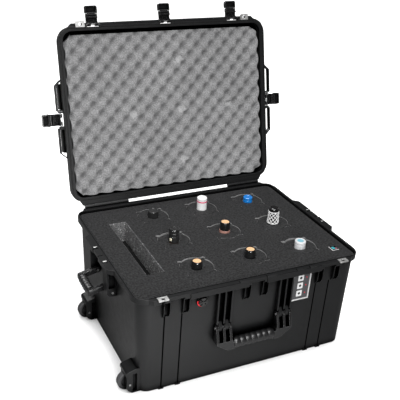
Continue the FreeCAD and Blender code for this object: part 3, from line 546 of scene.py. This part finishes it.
def triangulate(loops, spots, keep):
    """Triangles over the loops' plan with extra points inside, leaving out those that keep() rejects."""
    flat = [Vector((p[0], p[1])) for loop in loops for p in loop]
    edges = []
    start = 0
    for loop in loops:
        n = len(loop)
        edges += [(start + i, start + (i + 1) % n) for i in range(n)]
        start += n
    flat += [Vector(s) for s in spots]
    points, _, faces, _, _, _ = geometry.delaunay_2d_cdt(flat, edges, [], 1, 1e-5)
    kept = []
    for face in faces:
        cx = sum(points[i].x for i in face) / len(face)
        cy = sum(points[i].y for i in face) / len(face)
        if keep(cx, cy):
            kept.append(face)
    return points, kept


def well_hole(shell, x, y):
    """One notched well down to its floor. Returns the loop round its top."""
    n = len(WELL_ANGLES)
    rim = shell.add(well_loop(x, y, FOAM_TOP, 0, 1.1))
    lip = shell.add(well_loop(x, y, FOAM_TOP - 0.5, 0, 0.3))
    wall = shell.add(well_loop(x, y, FOAM_TOP - 1.6, 0))
    foot = shell.add([jitter(p, 0.2, 0.4) for p in well_loop(x, y, NOTCH_FLOOR, 0)])
    ledge = shell.add(circle(x, y, NOTCH_FLOOR, WELL_R - 0.6, n))
    bottom = shell.add(circle(x, y, WELL_FLOOR, WELL_R - 0.6, n))
    loops = (rim, lip, wall, foot, ledge, bottom)
    for high, low, mark in zip(loops, loops[1:], (SKIN, EDGE, EDGE, CUT, CUT)):
        shell.bridge(low, high, mark)
    shell.fan(bottom, (x, y, WELL_FLOOR), CUT)
    return rim


def slot_hole(shell):
    """The tool slot, with rough walls and a floor painted near-black as shade. Returns the loop round its
    top.
    """
    rim = shell.add(slot_loop(FOAM_TOP, 1.0))
    last = rim
    for k, depth in enumerate([0.8] + [3.0 + 4.0 * k for k in range(16)]):
        rough = 0.3 if k == 0 else 1.3
        z = max(FOAM_TOP - depth, SLOT_FLOOR)
        loop = shell.add([jitter(p, 0.12, rough) for p in slot_loop(z)])
        shell.bridge(loop, last, CUT)
        last = loop
    shell.fan(last, (sum(SLOT_X) / 2, sum(SLOT_Y) / 2, SLOT_FLOOR), DEEP_SHADE)
    return rim


def foam_insert():
    """Both foam blocks as one piece: the block, its top sheet's edge with a band of painted highlight, the
    holes and the uneven top.
    """
    shell = Shell()
    half_x, half_y, corner = SHEET
    outer = [shell.add(rounded_loop(half_x - d, half_y - d, corner - d * 0.5, z)) for d, z in SHEET_RINGS]
    # the middle band of the sheet's edge is painted lighter as a highlight
    for a, b, mark in zip(outer, outer[1:], (SKIN, BEVEL_HIGHLIGHT, SKIN)):
        shell.bridge(a, b, mark)
    last = outer[0]
    for hx, hy, r, z in BLOCK_RINGS:
        loop = shell.add(rounded_loop(hx, hy, r, z))
        shell.bridge(loop, last)
        last = loop
    shell.fan(last, (0, 0, BLOCK_RINGS[-1][3]), SKIN, True)

    rims = [outer[-1]] + [well_hole(shell, x, y) for x, y in WELLS] + [slot_hole(shell)]
    index = [i for rim in rims for i in rim]
    spots = []
    step = SPOT_STEP
    for i in range(int(-half_x / step), int(half_x / step) + 1):
        for j in range(int(-half_y / step), int(half_y / step) + 1):
            x, y = i * step, j * step + (i % 2) * step / 2
            corner_out = abs(x) > half_x - corner and abs(y) > half_y - corner
            if abs(x) > half_x - step or abs(y) > half_y - step or corner_out:
                continue
            if clear_of_cuts(x, y, SPOT_MARGIN):
                spots.append((x, y))
    loops = [[shell.points[i] for i in rim] for rim in rims]
    points, faces = triangulate(loops, spots, lambda x, y: clear_of_cuts(x, y, 0.0))
    index += shell.add([(p.x, p.y, FOAM_TOP + sheet_height(p.x, p.y)) for p in points[len(index):]])
    for face in faces:
        shell.face([index[i] for i in face], SKIN)
    make_piece("foam_insert", shell, [BLACK_FOAM, CUT_FOAM, EDGE_FOAM, SLOT_FLOOR_SHADE, SHEET_EDGE_HIGHLIGHT],
               "case_base", ["base_foam", "base_foam_end"], 50.0)


# ---- bottle collars

# tilt of each collar: how much its edge rises towards +x and towards +y, then its sink at the centre
COLLARS = (
    (-0.6, 0.5, 0.9),
    (0.5, -0.5, 0.8),
    (0.3, -0.9, 0.9),
    (1.5, -2.2, 2.8),
    (0.2, -1.9, 0.3),
    (1.3, -0.9, 1.0),
    (0.4, -1.6, 2.4),
    (1.2, -1.8, 1.2),
    (1.6, -2.0, 3.2),
)
COLLAR_GAP = 1.2          # between a collar and its well
COLLAR_FOOT = 269.0
NECK_HOLE_R = 17.4


def collar(number):
    """The foam disc round one bottle's neck, tilted and sunk a little in its well."""
    x, y = WELLS[number]
    tilt_x, tilt_y, drop = COLLARS[number]
    shell = Shell()

    def surface(px, py, lift):
        wave = 0.35 * noise.noise(Vector((px, py, 9.0)) * 0.05)
        return FOAM_TOP - drop + lift + wave + (tilt_x * (px - x) + tilt_y * (py - y)) / WELL_R

    def ring(share, lift):
        loop = []
        for angle in WELL_ANGLES:
            outer = well_radius(angle, COLLAR_GAP)
            r = NECK_HOLE_R + (outer - NECK_HOLE_R) * share
            px, py = x + r * math.cos(angle), y + r * math.sin(angle)
            loop.append((px, py, surface(px, py, lift)))
        return shell.add(loop)

    foot = COLLAR_FOOT - drop
    neck_foot = shell.add(circle(x, y, foot, NECK_HOLE_R, len(WELL_ANGLES)))
    skirt = shell.add(well_loop(x, y, foot, COLLAR_GAP))
    rings = [ring(0.0, -1.5), ring(0.03, -0.7), ring(0.12, -0.3)]
    rings += [ring(s, 0.0) for s in (0.28, 0.45, 0.62, 0.78, 0.9)]
    rings += [ring(0.965, -0.15), ring(0.99, -0.6), ring(1.0, -1.5)]
    shell.bridge(rings[0], neck_foot, 1)
    shell.join(rings[::-1])
    shell.bridge(skirt, rings[-1], 1)
    shell.bridge(neck_foot, skirt, 1)
    bottle = "bottle_%d" % (number + 1)
    make_piece(bottle + "_neck_foam", shell, [BLACK_FOAM, EDGE_FOAM], bottle,
               [bottle + "_collar"], 50.0)


# ---- bottle caps

CAP_BORE_R = 13.3
CAP_ROOF = 2.6            # thickness of a cap's top
TAB_R = 16.2


def cap_piece(number, outside, finishes, ribs=0, rib_depth=0.0, rib_span=(0.0, 0.0)):
    """A hollow screw cap. outside runs from the skirt's foot up and over to near the centre of the top.

    Each of its points is a radius and a depth under the top. A third value is the number of the finish
    from there on.
    """
    bottle = "bottle_%d" % (number + 1)
    name = bottle + "_cap"
    low, high = box_mm(name)
    x, y = WELLS[number]
    top, foot = high[2], low[2]
    n = 144
    shell = Shell()
    rings, marks = [], []
    mark = 0
    for r, down, *change in outside:
        mark = change[0] if change else mark
        ring = []
        for angle in whole_turn(n):
            rr = r
            if ribs and rib_span[0] < down < rib_span[1] and r > 12:
                rr = r - rib_depth * (0.5 - 0.5 * math.cos(ribs * angle)) ** 0.7
            ring.append((x + rr * math.cos(angle), y + rr * math.sin(angle), top - down))
        rings.append(shell.add(ring))
        marks.append(mark)
    for a, b, mark in zip(rings, rings[1:], marks):
        shell.bridge(a, b, mark)
    shell.fan(rings[-1], (x, y, top - outside[-1][1]), marks[-1])
    inner = shell.add(circle(x, y, foot, CAP_BORE_R, n))
    roof = shell.add(circle(x, y, top - CAP_ROOF, CAP_BORE_R, n))
    shell.bridge(inner, rings[0], marks[0])
    shell.bridge(roof, inner, marks[0])
    shell.fan(roof, (x, y, top - CAP_ROOF), marks[0], True)
    make_piece(name + "_turned", shell, finishes, bottle, [name], 35.0)


def caps():
    # black, low, ribbed
    low = [(16.0, 30.0), (16.0, 22.5), (16.0, 15.0), (16.0, 7.5), (16.0, 2.8), (15.75, 1.2), (15.2, 0.48)]
    low += [(14.4, 0.0), (13.0, 0.0), (12.3, 0.8), (6.4, 0.8), (2.4, 0.8)]
    cap_piece(0, low, [CAP_SATIN], 36, 0.7, (3.0, 28.0))
    # white, tall, with a pink ring
    tall = [(15.5, 40.0), (15.5, 30.0), (15.5, 14.6), (15.9, 14.2, 1), (15.9, 10.6), (15.5, 10.2, 0)]
    tall += [(15.5, 9.0), (15.1, 8.4), (15.5, 7.8), (15.5, 2.6), (15.0, 1.2), (14.0, 0.4)]
    tall += [(12.6, 0.0), (11.2, 0.0), (10.6, 0.9), (5.0, 0.9), (2.0, 0.9)]
    cap_piece(1, tall, [CAP_WHITE, CAP_PINK])
    # blue foil, low, rounded, with a pinched waist
    foil = [(14.4, 26.0), (15.0, 15.0), (15.0, 11.5), (14.5, 9.6), (13.9, 8.4), (14.4, 7.2)]
    foil += [(15.0, 5.8), (14.9, 3.6), (14.2, 1.6), (12.9, 0.4), (11.0, 0.0), (9.6, 0.5)]
    foil += [(8.6, 1.6), (4.0, 1.7), (1.6, 1.7)]
    cap_piece(2, foil, [CAP_BLUE])
    # black, tall, stepped, with fine ribs and a glossy top ring
    step = [(15.5, 39.0), (15.5, 28.0), (15.5, 22.0), (14.9, 21.2), (15.3, 20.4), (15.3, 12.0)]
    step += [(14.6, 11.2), (14.6, 9.4), (15.2, 8.6), (15.2, 2.4, 1), (14.7, 1.0), (13.6, 0.0)]
    step += [(11.8, 0.0, 0), (11.0, 1.2), (5.0, 1.2), (2.0, 1.2)]
    cap_piece(3, step, [CAP_SATIN, CAP_BLACK], 40, 0.35, (12.0, 34.0))
    # black with a gold disc inside its rim and a short copper band at its foot
    gold = [(15.5, 42.0, 2), (15.6, 34.0), (15.6, 25.6), (15.0, 25.0, 0), (15.2, 24.2)]
    gold += [(15.4, 12.0), (15.2, 4.0), (14.6, 1.2), (13.4, 0.1), (11.9, 0.0), (11.4, 0.7, 1)]
    gold += [(6.0, 0.6), (2.4, 0.6)]
    cap_piece(4, gold, [CAP_BLACK, CAP_GOLD, CAP_COPPER])
    # black top over a white net sleeve, whose strands are their own piece
    net = [(14.3, 53.0), (14.3, 40.0), (13.9, 24.0), (13.7, 14.0), (15.3, 12.6), (15.5, 10.4)]
    net += [(15.5, 4.6), (14.8, 2.2), (13.4, 0.8), (11.4, 0.0), (7.0, 0.0), (3.0, 0.0)]
    cap_piece(5, net, [CAP_BLACK])
    # two wide black caps, ribbed, with a gold disc
    for number, length in ((6, 30.0), (7, 32.0)):
        wide = [(16.0, length), (16.0, 20.0), (15.9, 12.0), (15.6, 4.0), (15.0, 1.4), (13.9, 0.1)]
        wide += [(11.6, 0.0), (11.1, 0.8, 1), (6.0, 0.7), (2.4, 0.7)]
        cap_piece(number, wide, [CAP_BLACK, CAP_GOLD], 24, 0.5, (4.0, 29.0))
    # silver with a waist groove and a pale blue disc
    silver = [(15.7, 28.0), (15.7, 11.0), (15.0, 10.2), (14.6, 9.0), (15.2, 7.8), (16.0, 7.0)]
    silver += [(16.0, 2.6), (15.4, 1.1), (14.0, 0.2), (12.2, 0.0), (10.8, 0.8), (9.2, 0.9, 1)]
    silver += [(5.0, 0.9), (2.0, 0.9)]
    cap_piece(8, silver, [CAP_SILVER, CAP_PALE_BLUE])


def tube_along(shell, path, radius, sides, closed=False):
    """A round strand along a path of points."""
    loops = []
    count = len(path)
    for i, p in enumerate(path):
        before = Vector(path[i - 1] if (i > 0 or closed) else path[i])
        after = Vector(path[(i + 1) % count] if (i < count - 1 or closed) else path[i])
        along = (after - before).normalized()
        side = along.cross(Vector((0, 0, 1)))
        side = side.normalized() if side.length > 1e-4 else Vector((1, 0, 0))
        up = side.cross(along)
        spokes = [(side * math.cos(a) + up * math.sin(a)) * radius for a in whole_turn(sides)]
        loops.append(shell.add([Vector(p) + spoke for spoke in spokes]))
    shell.join(loops)
    if closed:
        shell.bridge(loops[-1], loops[0])
    else:
        shell.fan(loops[0], path[0], 0, True)
        shell.fan(loops[-1], path[-1])


def cream_tab():
    """A cream tear tab stuck low on the front left of the tall stepped cap."""
    x, y = WELLS[3]
    top = box_mm("bottle_4_cap")[1][2]
    shell = Shell()
    rings = []
    for drop, inset in ((33.0, 1.6), (31.5, 0.0), (26.5, 0.0), (25.0, 1.6)):
        front = []
        for k in range(9):
            angle = math.radians(196.0 + inset * 2 + (28.0 - inset * 4) * k / 8)
            front.append((x + TAB_R * math.cos(angle), y + TAB_R * math.sin(angle), top - drop))
        back = [(px + (x - px) * 0.06, py + (y - py) * 0.06, pz) for px, py, pz in front]
        rings.append(shell.add(front + back[::-1]))
    shell.stack(rings)
    make_piece("bottle_4_tab", shell, [CAP_CREAM], "bottle_4")


def net_sleeve():
    """White strands crossing in diamonds round the tall cap, between two rings."""
    x, y = WELLS[5]
    top = box_mm("bottle_6_cap")[1][2] - 13.0
    foot = FOAM_TOP + 1.2
    shell = Shell()
    strands = 9
    turns = 0.30
    steps = 22
    for way in (-1, 1):
        for s in range(strands):
            path = []
            for i in range(steps + 1):
                t = i / steps
                angle = 2 * math.pi * (s / strands + way * turns * t)
                r = 15.5 + 1.4 * (1 - t) ** 3 + 0.3 * way
                path.append((x + r * math.cos(angle), y + r * math.sin(angle), foot + (top - foot) * t))
            tube_along(shell, path, 1.15, 7)
    for z, r in ((foot, 16.9), (top, 15.5)):
        tube_along(shell, circle(x, y, z, r, 60), 1.25, 7, True)
    make_piece("bottle_6_net", shell, [CAP_WHITE], "bottle_6")


# ---- lid foam

LID_FOAM = (-316.5, 318.0, -233.0, 240.0, 20.0)     # its sides in x and in y, and its cut corners
FOAM_FRONT = 301.0
FOAM_BACK = 351.5
DENT_R = 15.0
WAVE_DEPTH = 21.0
PITCH_X = 49.4
PITCH_Y = 52.0
WAVE_X = 79.2
WAVE_Y = -207.4


def wave(x, y):
    """0 at the bottom of a dimple, 1 at the top of a peak."""
    h = -math.cos(2 * math.pi * (x - WAVE_X) / PITCH_X) * math.cos(2 * math.pi * (y - WAVE_Y) / PITCH_Y)
    s = (h + 1) / 2
    return 1 - (1 - s) ** 1.9


PRESSED_WELLS = (1, 3, 4, 5, 7)      # those of the five tallest caps, which mark the lid foam


def soften_normals(finish, outward, amount):
    """Open cells scatter light, so slopes differ less than on a hard surface: leans normals to outward."""
    true = node(finish, "ShaderNodeNewGeometry").outputs["Normal"]
    local = node(finish, "ShaderNodeVectorTransform", vector_type="NORMAL", convert_from="OBJECT",
                 convert_to="WORLD")
    local.inputs[0].default_value = tuple(outward)
    lean = vector_node(finish, "SCALE", local.outputs[0])
    lean.inputs["Scale"].default_value = amount
    both = vector_node(finish, "ADD", true, lean.outputs[0])
    unit = vector_node(finish, "NORMALIZE", both.outputs[0])
    for found in finish.node_tree.nodes:
        if found.bl_idname == "ShaderNodeBump":
            link(finish, unit.outputs[0], found.inputs["Normal"])


def is_pressed(x, y, reach):
    """Whether a cap presses into the lid foam within reach of a point."""
    return any(math.dist((x, y), WELLS[number]) < reach for number in PRESSED_WELLS)


def lid_foam_front(x, y):
    """Height of the convoluted face, with a shallow dent over each tall cap."""
    warp = 1.2 * noise.noise(Vector((x, y, 5.0)) * 0.02)
    height = wave(x + warp, y - warp)
    for number in PRESSED_WELLS:
        share = math.dist((x, y), WELLS[number]) / DENT_R
        if share < 1:
            dent = 0.80 - 0.10 * (1 - share) + 0.05 * noise.noise(Vector((x, y, 2.0)) * 0.2)
            height = min(height, dent)
    tiny = 0.35 * noise.noise(Vector((x, y, 1.0)) * 0.25)
    return FOAM_FRONT + WAVE_DEPTH * (1 - max(height, 0.0)) + tiny


def lid_foam():
    """The lid's foam sheet, drawn with the lid closed and then swung open."""
    x0, x1, y0, y1, cut = LID_FOAM
    step = 3.2
    corners = cut_corners(x0, x1, y0, y1, cut)
    outline = []
    for start, end in zip(corners, corners[1:] + corners[:1]):
        outline += between(start, end, max(2, int(math.dist(start, end) / step)))
    spots = []
    for i in range(1, int((x1 - x0) / step)):
        for j in range(1, int((y1 - y0) / step)):
            x, y = x0 + i * step, y0 + j * step
            near_x, near_y = min(x - x0, x1 - x), min(y - y0, y1 - y)
            if min(near_x, near_y) > 1.6 and near_x + near_y > cut + 2.2:
                spots.append((x, y))
    points, faces = triangulate([outline], spots, lambda x, y: True)
    shell = Shell()
    front = shell.add([(p.x, p.y, lid_foam_front(p.x, p.y)) for p in points])
    for face in faces:
        cx, cy = sum(points[i].x for i in face) / 3, sum(points[i].y for i in face) / 3
        ragged = 11.5 + 4.0 * noise.noise(Vector((cx, cy, 7.0)) * 0.12)
        shell.face([front[i] for i in reversed(face)], int(is_pressed(cx, cy, ragged)))
    last = front[:len(outline)]
    for share in (0.1, 0.4, 0.7, 1.0):
        tuck = 1.0 - 0.014 * share
        rough = 0.5 if share < 1 else 0.0
        loop = []
        for i, (x, y) in zip(front, outline):
            z = shell.points[i][2]
            loop.append(jitter((x * tuck, y * tuck, z + (FOAM_BACK - z) * share), 0.15, rough))
        loop = shell.add(loop)
        shell.bridge(last, loop)
        last = loop
    shell.fan(last, (0, 0, FOAM_BACK))
    piece = make_piece("lid_convoluted_foam", shell, [GREY_FOAM, PRESSED_FOAM], "lid",
                       ["lid_foam"], 60.0, OPEN_LID)
    inward = OPEN_LID.to_3x3() @ Vector((0, 0, 1))
    for finish in (GREY_FOAM, PRESSED_FOAM):
        soften_normals(finish, -inward, 1.5)
    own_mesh(piece)


# ---- small added pieces

def wall_y(z):
    """Outer face of the drafted front wall, as a y in millimetres."""
    return -(245.4 + 8.3 * z / 282.0)


def block(shell, x0, x1, z0, z1, out0, out1, cut=1.5, mark=0):
    """A thin block with cut corners that lies along the front wall, from out0 to out1 in front of it."""
    plan = cut_corners(x0, x1, z0, z1, cut)
    shell.stack([shell.add([(x, wall_y(z) - out, z) for x, z in plan]) for out in (out0, out1)], mark)


def wall_disc(shell, cx, cz, r, out0, out1, mark):
    """A disc with a broken edge that lies along the front wall."""
    rings = []
    for rr, out in ((r, out0), (r, out1 - 0.15), (r - 0.2, out1)):
        rings.append(shell.add([(x, wall_y(z) - out, z) for x, z, _ in circle(cx, cz, 0.0, rr, 28)]))
    shell.stack(rings, mark)


CARD_FACE = 1.55      # the card's face in front of the wall
LABEL_ROWS = (261.0, 236.0, 211.0)


def label_print():
    """Three white squares with a dark centre and three red dots on the card: plain marks, no lettering."""
    shell = Shell()
    for z in LABEL_ROWS:
        block(shell, 133.0, 150.5, z - 9.4, z + 9.4, CARD_FACE - 0.05, CARD_FACE + 0.35)
        wall_disc(shell, 141.8, z, 3.8, CARD_FACE + 0.2, CARD_FACE + 0.6, 1)
        wall_disc(shell, 160.5, z - 1.0, 2.1, CARD_FACE - 0.05, CARD_FACE + 0.4, 2)
    make_piece("label_print", shell, [PRINT_WHITE, PRINT_BLACK, PRINT_RED], "case_base")


VALVE_CENTRE = (-154.0, 258.0)
SEAL_R = 14.6


def valve_ring():
    """The part of a red seal that shows round the foot of the valve's knob, and a bar across the knob."""
    cx, cz = VALVE_CENTRE
    shell = Shell()
    ring = []
    for k in range(33):
        a = math.radians(165.0 + 120.0 * k / 32)
        z = cz + SEAL_R * math.sin(a)
        ring.append((cx + SEAL_R * math.cos(a), wall_y(z) - 3.6, z))
    tube_along(shell, ring, 1.5, 8)
    block(shell, cx - 10.5, cx + 10.5, cz - 2.2, cz + 2.2, 8.6, 10.4, 1.2, 1)
    make_piece("valve_seal", shell, [RED_RUBBER, VALVE], "case_base")


LATCH_PIN_Z = 305.0
LATCH_SWING = math.radians(-88.0)
LATCHES = (("front_left", 0, -228.0), ("front_middle", 0, 0.0), ("front_right", 0, 226.0),
           ("left", -1, 0.0), ("right", 1, 0.0))
# outwards and down from the pin
WEB_OUTLINE = ((3.4, -2.0), (11.2, 3.6), (11.2, 13.9), (6.9, 13.9), (6.9, 8.4), (2.6, 5.8))


def latch_webs():
    """A web that closes the middle of each latch body behind its pin, drawn with the latch closed."""
    for name, side, x in LATCHES:
        pin_y = -346.5 if side else -260.5
        shell = Shell()
        loops = []
        for across in (-6.4, 6.4):
            loop = [(x + across, pin_y - out, LATCH_PIN_Z - down) for out, down in WEB_OUTLINE]
            loops.append(shell.add(loop))
        shell.stack(loops)
        pin = Vector((0.0, pin_y, LATCH_PIN_Z)) * MM
        swing = Matrix.Translation(pin) @ Matrix.Rotation(LATCH_SWING, 4, "X") @ Matrix.Translation(-pin)
        turn = Matrix.Rotation(math.radians(90.0 * side), 4, "Z")
        shift = Matrix.Translation((0.0, 5.0 * MM if side else 0.0, 0.0))
        place = OPEN_LID @ shift @ turn @ swing
        make_piece("latch_" + name + "_web", shell, [LATCH], "latch_" + name, place=place)


def rectangle(x0, x1, y0, y1, z):
    return [(x0, y0, z), (x1, y0, z), (x1, y1, z), (x0, y1, z)]


def end_tab_highlights():
    """Painted highlights on the small tabs beside the end latches: thin tops in the steel plate's finish."""
    for sign, name in ((-1, "left"), (1, "right")):
        shell = Shell()
        x0, x1 = sorted((sign * 339.5, sign * 349.5))
        for y in (-49.0, 32.0):
            y0, y1 = y - 2.6, y + 2.6
            rings = [shell.add(rectangle(x0 + inset, x1 - inset, y0 + inset, y1 - inset, z))
                     for inset, z in ((0.0, 297.6), (0.0, 298.4), (0.5, 298.8))]
            shell.stack(rings)
        # painted highlight pieces, not real parts of the tabs
        make_piece(name + "_tab_highlights", shell, [PLATE], "case_base")


def badge():
    """A small square tag on the foam: two plain glossy stones on a dark base, with a grey strip along two of
    its edges as a painted highlight.
    """
    cx, cy, half = 288.0, -191.0, 11.0
    edge = 2.2
    left, right, near, far = cx - half, cx + half, cy - half, cy + half
    shell = Shell()
    for x0, x1, y0, y1, z0, z1, mark in (
            (left, right, near, far, 289.4, 290.9, 0),
            # the grey strips along the left and near edges are a painted highlight
            (left, left + edge, near, far, 290.7, 291.3, 1),
            (left + edge, right, near, near + edge, 290.7, 291.3, 1),
            (cx - 6.0, cx + 2.6, cy - 4.0, cy + 6.5, 290.7, 292.2, 2),
            (cx + 3.4, cx + 9.0, cy - 6.0, cy + 1.0, 290.7, 292.0, 3)):
        cut = min(1.2, (x1 - x0) / 4, (y1 - y0) / 4)
        rings = []
        for inset, z in ((0.0, z0), (0.0, z1 - 0.4), (0.4, z1)):
            plan = cut_corners(x0 + inset, x1 - inset, y0 + inset, y1 - inset, cut)
            rings.append(shell.add([(x, y, z) for x, y in plan]))
        shell.stack(rings, mark)
    make_piece("foam_tag", shell, [CAP_BLACK, FRAME, GEM, GEM_ROSE], "case_base")


# ---- ribbed grips

# the end handles: pivot, bar's place from it when swung out, and how far the right one hangs at rest
PIVOT_X = 333.5
PIVOT_Z = 216.0
BAR_OUT = 46.5
BAR_DROP = 13.0
HANG_DEG = 69.0


def lump(along, length, pitch, power, fade):
    """How far a sleeve's lumps stand up at a place along it, from 0 to 1, with a fade at both ends."""
    ridge = (0.5 - 0.5 * math.cos(2 * math.pi * along / pitch)) ** power
    return ridge * min(1.0, min(along, length - along) / fade)


def front_grip():
    """A glossy ribbed sleeve over the front handle's bar."""
    x0, x1, y, z = -60.5, 58.5, -266.5, 112.0
    length = x1 - x0
    angles = whole_turn(40)
    shell = Shell()
    rings = []
    count = 240
    for i in range(count + 1):
        along = length * i / count
        r = 14.2 + 1.5 * lump(along, length, 17.0, 0.45, 4.0)
        ring = []
        for a in angles:
            flat = 1.0 - 0.03 * (0.5 + 0.5 * math.cos(2 * a))
            ring.append((x0 + along, y + r * flat * math.cos(a), z + r * math.sin(a)))
        rings.append(shell.add(ring))
    bore = [(y + 13.6 * math.cos(a), z + 13.6 * math.sin(a)) for a in angles]
    inner = [shell.add([(x, by, bz) for by, bz in bore]) for x in (x0, x1)]
    shell.join([inner[0]] + rings + [inner[1], inner[0]])
    make_piece("front_handle_sleeve", shell, [GRIP], "front_handle")


def end_grips():
    """Ribbed sleeves over the bars of the two end handles, which are squarish in section."""
    y0, y1, count = -28.0, 40.0, 136
    for name, sign, hanging in (("left_handle", -1, 0.0), ("right_handle", 1, math.radians(HANG_DEG))):
        reach = math.hypot(BAR_OUT, BAR_DROP)
        angle = math.atan2(BAR_DROP, BAR_OUT) + hanging
        cx = sign * (PIVOT_X + reach * math.cos(angle))
        cz = PIVOT_Z - reach * math.sin(angle)
        lean_cos, lean_sin = math.cos(-sign * hanging), math.sin(-sign * hanging)
        shell = Shell()
        rings = []
        for i in range(count + 1):
            along = (y1 - y0) * i / count
            grow = 0.4 + 1.5 * lump(along, y1 - y0, 13.6, 0.5, 3.0)
            ring = []
            for a in whole_turn(32):
                c, s = math.cos(a), math.sin(a)
                u = math.copysign(abs(c) ** 0.62, c) * (10.0 + grow)
                v = math.copysign(abs(s) ** 0.62, s) * (9.5 + grow)
                ring.append((cx + u * lean_cos - v * lean_sin, y0 + along, cz + u * lean_sin + v * lean_cos))
            rings.append(shell.add(ring))
        shell.stack(rings[::-1])
        make_piece(name + "_sleeve", shell, [GRIP], name)


foam_insert()
for number in range(9):
    collar(number)
caps()
cream_tab()
net_sleeve()
lid_foam()
label_print()
valve_ring()
latch_webs()
end_tab_highlights()
badge()
front_grip()
end_grips()


# ---- CAD nodes' finishes

FINISHES = {
    "case_plastic": CASE, "valve_plastic": VALVE, "label_frame": FRAME, "label_card": CARD,
    "steel_plate": PLATE, "pin_steel": PIN, "tube_aluminium": TUBE, "handle_plastic": HANDLE,
    "button_plastic": BUTTON, "latch_plastic": LATCH, "gasket_rubber": GASKET, "wheel_rubber": WHEEL,
    "bottle_glass": GLASS, "foam_black": BLACK_FOAM, "foam_grey": GREY_FOAM,
}
for part in frame["record"]["subparts"]:
    finish = FINISHES.get(part["material_slot"])
    shown = frame["nodes"].get(part["node"])
    if finish is None or shown is None:
        continue
    for place in shown.material_slots:
        place.material = finish


# ---- stage, light and camera

# the floor's glow is dimmer near the case: painted shade round it
FLOOR_GLOW_NEAR = 0.40
FLOOR_GLOW_FAR = 0.75
ROOM_GLOW = 0.07
BRIGHT_PATCH = (-0.25, -0.50, 0.0)    # where the floor throws most light back at the case
FLOOR_REACH = 14.0
PAPER = grey(0.93)


def stage_floor():
    """A pale floor that the camera sees as bright paper, while it throws back little light. Its glow is
    dimmer near the case as painted shade, and a painted contact shadow darkens it round the case's foot.
    """
    mesh = bpy.data.meshes.new("floor")
    mesh.from_pydata(rectangle(-FLOOR_REACH, FLOOR_REACH, -FLOOR_REACH, FLOOR_REACH, 0), [], [(0, 1, 2, 3)])
    finish = new_finish("floor_paper", PAPER, 0.9, specular=0.1)
    seen = node(finish, "ShaderNodeLightPath").outputs["Is Camera Ray"]
    place = coordinates(finish)
    from_patch = vector_node(finish, "DISTANCE", place, BRIGHT_PATCH).outputs["Value"]
    bounce = ramp(finish, from_patch, [(0.08, grey(0.62)), (0.62, grey(0.20))])
    # painted contact shadow: darkens the floor's paint and glow where the case hides the sky
    contact_shadow = sky_in_view(finish, 0.085, 16, 0.10, 0.80, 0.15)
    paint(finish, mix(finish, 1.0, mix(finish, seen, bounce, PAPER), contact_shadow, "MULTIPLY"))
    from_case = vector_node(finish, "LENGTH", place).outputs["Value"]
    glow = remap(finish, from_case, 0.35, 1.1, FLOOR_GLOW_NEAR, FLOOR_GLOW_FAR)
    glow = compute(finish, "MULTIPLY", seen, compute(finish, "MULTIPLY", contact_shadow, glow))
    shader_of(finish).inputs["Emission Color"].default_value = (1, 1, 1, 1)
    link(finish, glow, shader_of(finish).inputs["Emission Strength"])
    mesh.materials.append(finish)
    add_object("floor", mesh)


def aim(lamp, direction):
    lamp.rotation_mode = "QUATERNION"
    lamp.rotation_quaternion = Vector(direction).to_track_quat("-Z", "Y")


def softbox(name, place, target, size, power):
    data = bpy.data.lights.new(name, "AREA")
    data.shape = "RECTANGLE"
    data.size, data.size_y = size
    data.energy = power
    lamp = add_object(name, data)
    lamp.location = place
    aim(lamp, Vector(target) - Vector(place))


def white_world():
    """White where the camera sees it and dim for the light it gives."""
    world = bpy.data.worlds.new("studio")
    world.use_nodes = True
    tree = world.node_tree
    tree.nodes.clear()
    both = tree.nodes.new("ShaderNodeMixShader")
    seen = tree.nodes.new("ShaderNodeLightPath").outputs["Is Camera Ray"]
    tree.links.new(seen, both.inputs[0])
    for strength, socket in ((ROOM_GLOW, both.inputs[1]), (1.0, both.inputs[2])):
        white = tree.nodes.new("ShaderNodeBackground")
        white.inputs["Color"].default_value = (1, 1, 1, 1)
        white.inputs["Strength"].default_value = strength
        tree.links.new(white.outputs[0], socket)
    out = tree.nodes.new("ShaderNodeOutputWorld")
    tree.links.new(both.outputs[0], out.inputs["Surface"])
    bpy.context.scene.world = world


def photo_camera():
    """The photograph's viewpoint: from the front left, above, with a slight roll."""
    back = Vector((-0.40672, -0.80326, 0.43514))
    right = Vector((0.89215, -0.45173, 0.0))
    up = Vector((0.19657, 0.38821, 0.90036))
    roll = math.radians(3.438)
    turned_right = right * math.cos(roll) + up * math.sin(roll)
    turned_up = up * math.cos(roll) - right * math.sin(roll)
    axes = Matrix((turned_right, turned_up, back)).transposed()
    data = bpy.data.cameras.new("camera")
    data.sensor_width = 36.0
    data.lens = 64.37
    data.clip_end = 60.0
    camera = add_object("camera", data)
    camera.matrix_world = Matrix.Translation((-0.8615, -1.6034, 1.2771)) @ axes.to_4x4()
    bpy.context.scene.camera = camera


def soft_sun(direction, strength, angle_deg):
    data = bpy.data.lights.new("sun", "SUN")
    data.energy = strength
    data.angle = math.radians(angle_deg)
    aim(add_object("sun", data), direction)


stage_floor()
white_world()
soft_sun((0.16, 0.56, -1.0), 2.35, 40.0)
softbox("overhead", (-0.2, 0.5, 2.6), (0.0, -0.1, 0.2), (0.9, 0.5), 26.0)
softbox("left_front", (-0.42, -1.35, 0.55), (-0.3, -0.26, 0.15), (0.2, 0.5), 10.0)
softbox("right_strip", (2.1, 0.2, 1.2), (0.1, 0.0, 0.25), (0.12, 1.4), 3.0)
softbox("behind", (0.25, 3.0, 1.5), (0.0, 0.35, 0.45), (1.2, 0.8), 30.0)
softbox("glint_left", (-1.9, -0.9, 2.0), (-0.2, 0.0, 0.3), (0.16, 0.16), 9.0)
softbox("glint_front", (-0.2, -2.3, 1.9), (0.0, -0.2, 0.2), (0.16, 0.16), 4.0)
photo_camera()
bpy.context.scene.view_settings.view_transform = "Standard"
bpy.context.scene.view_settings.look = "None"
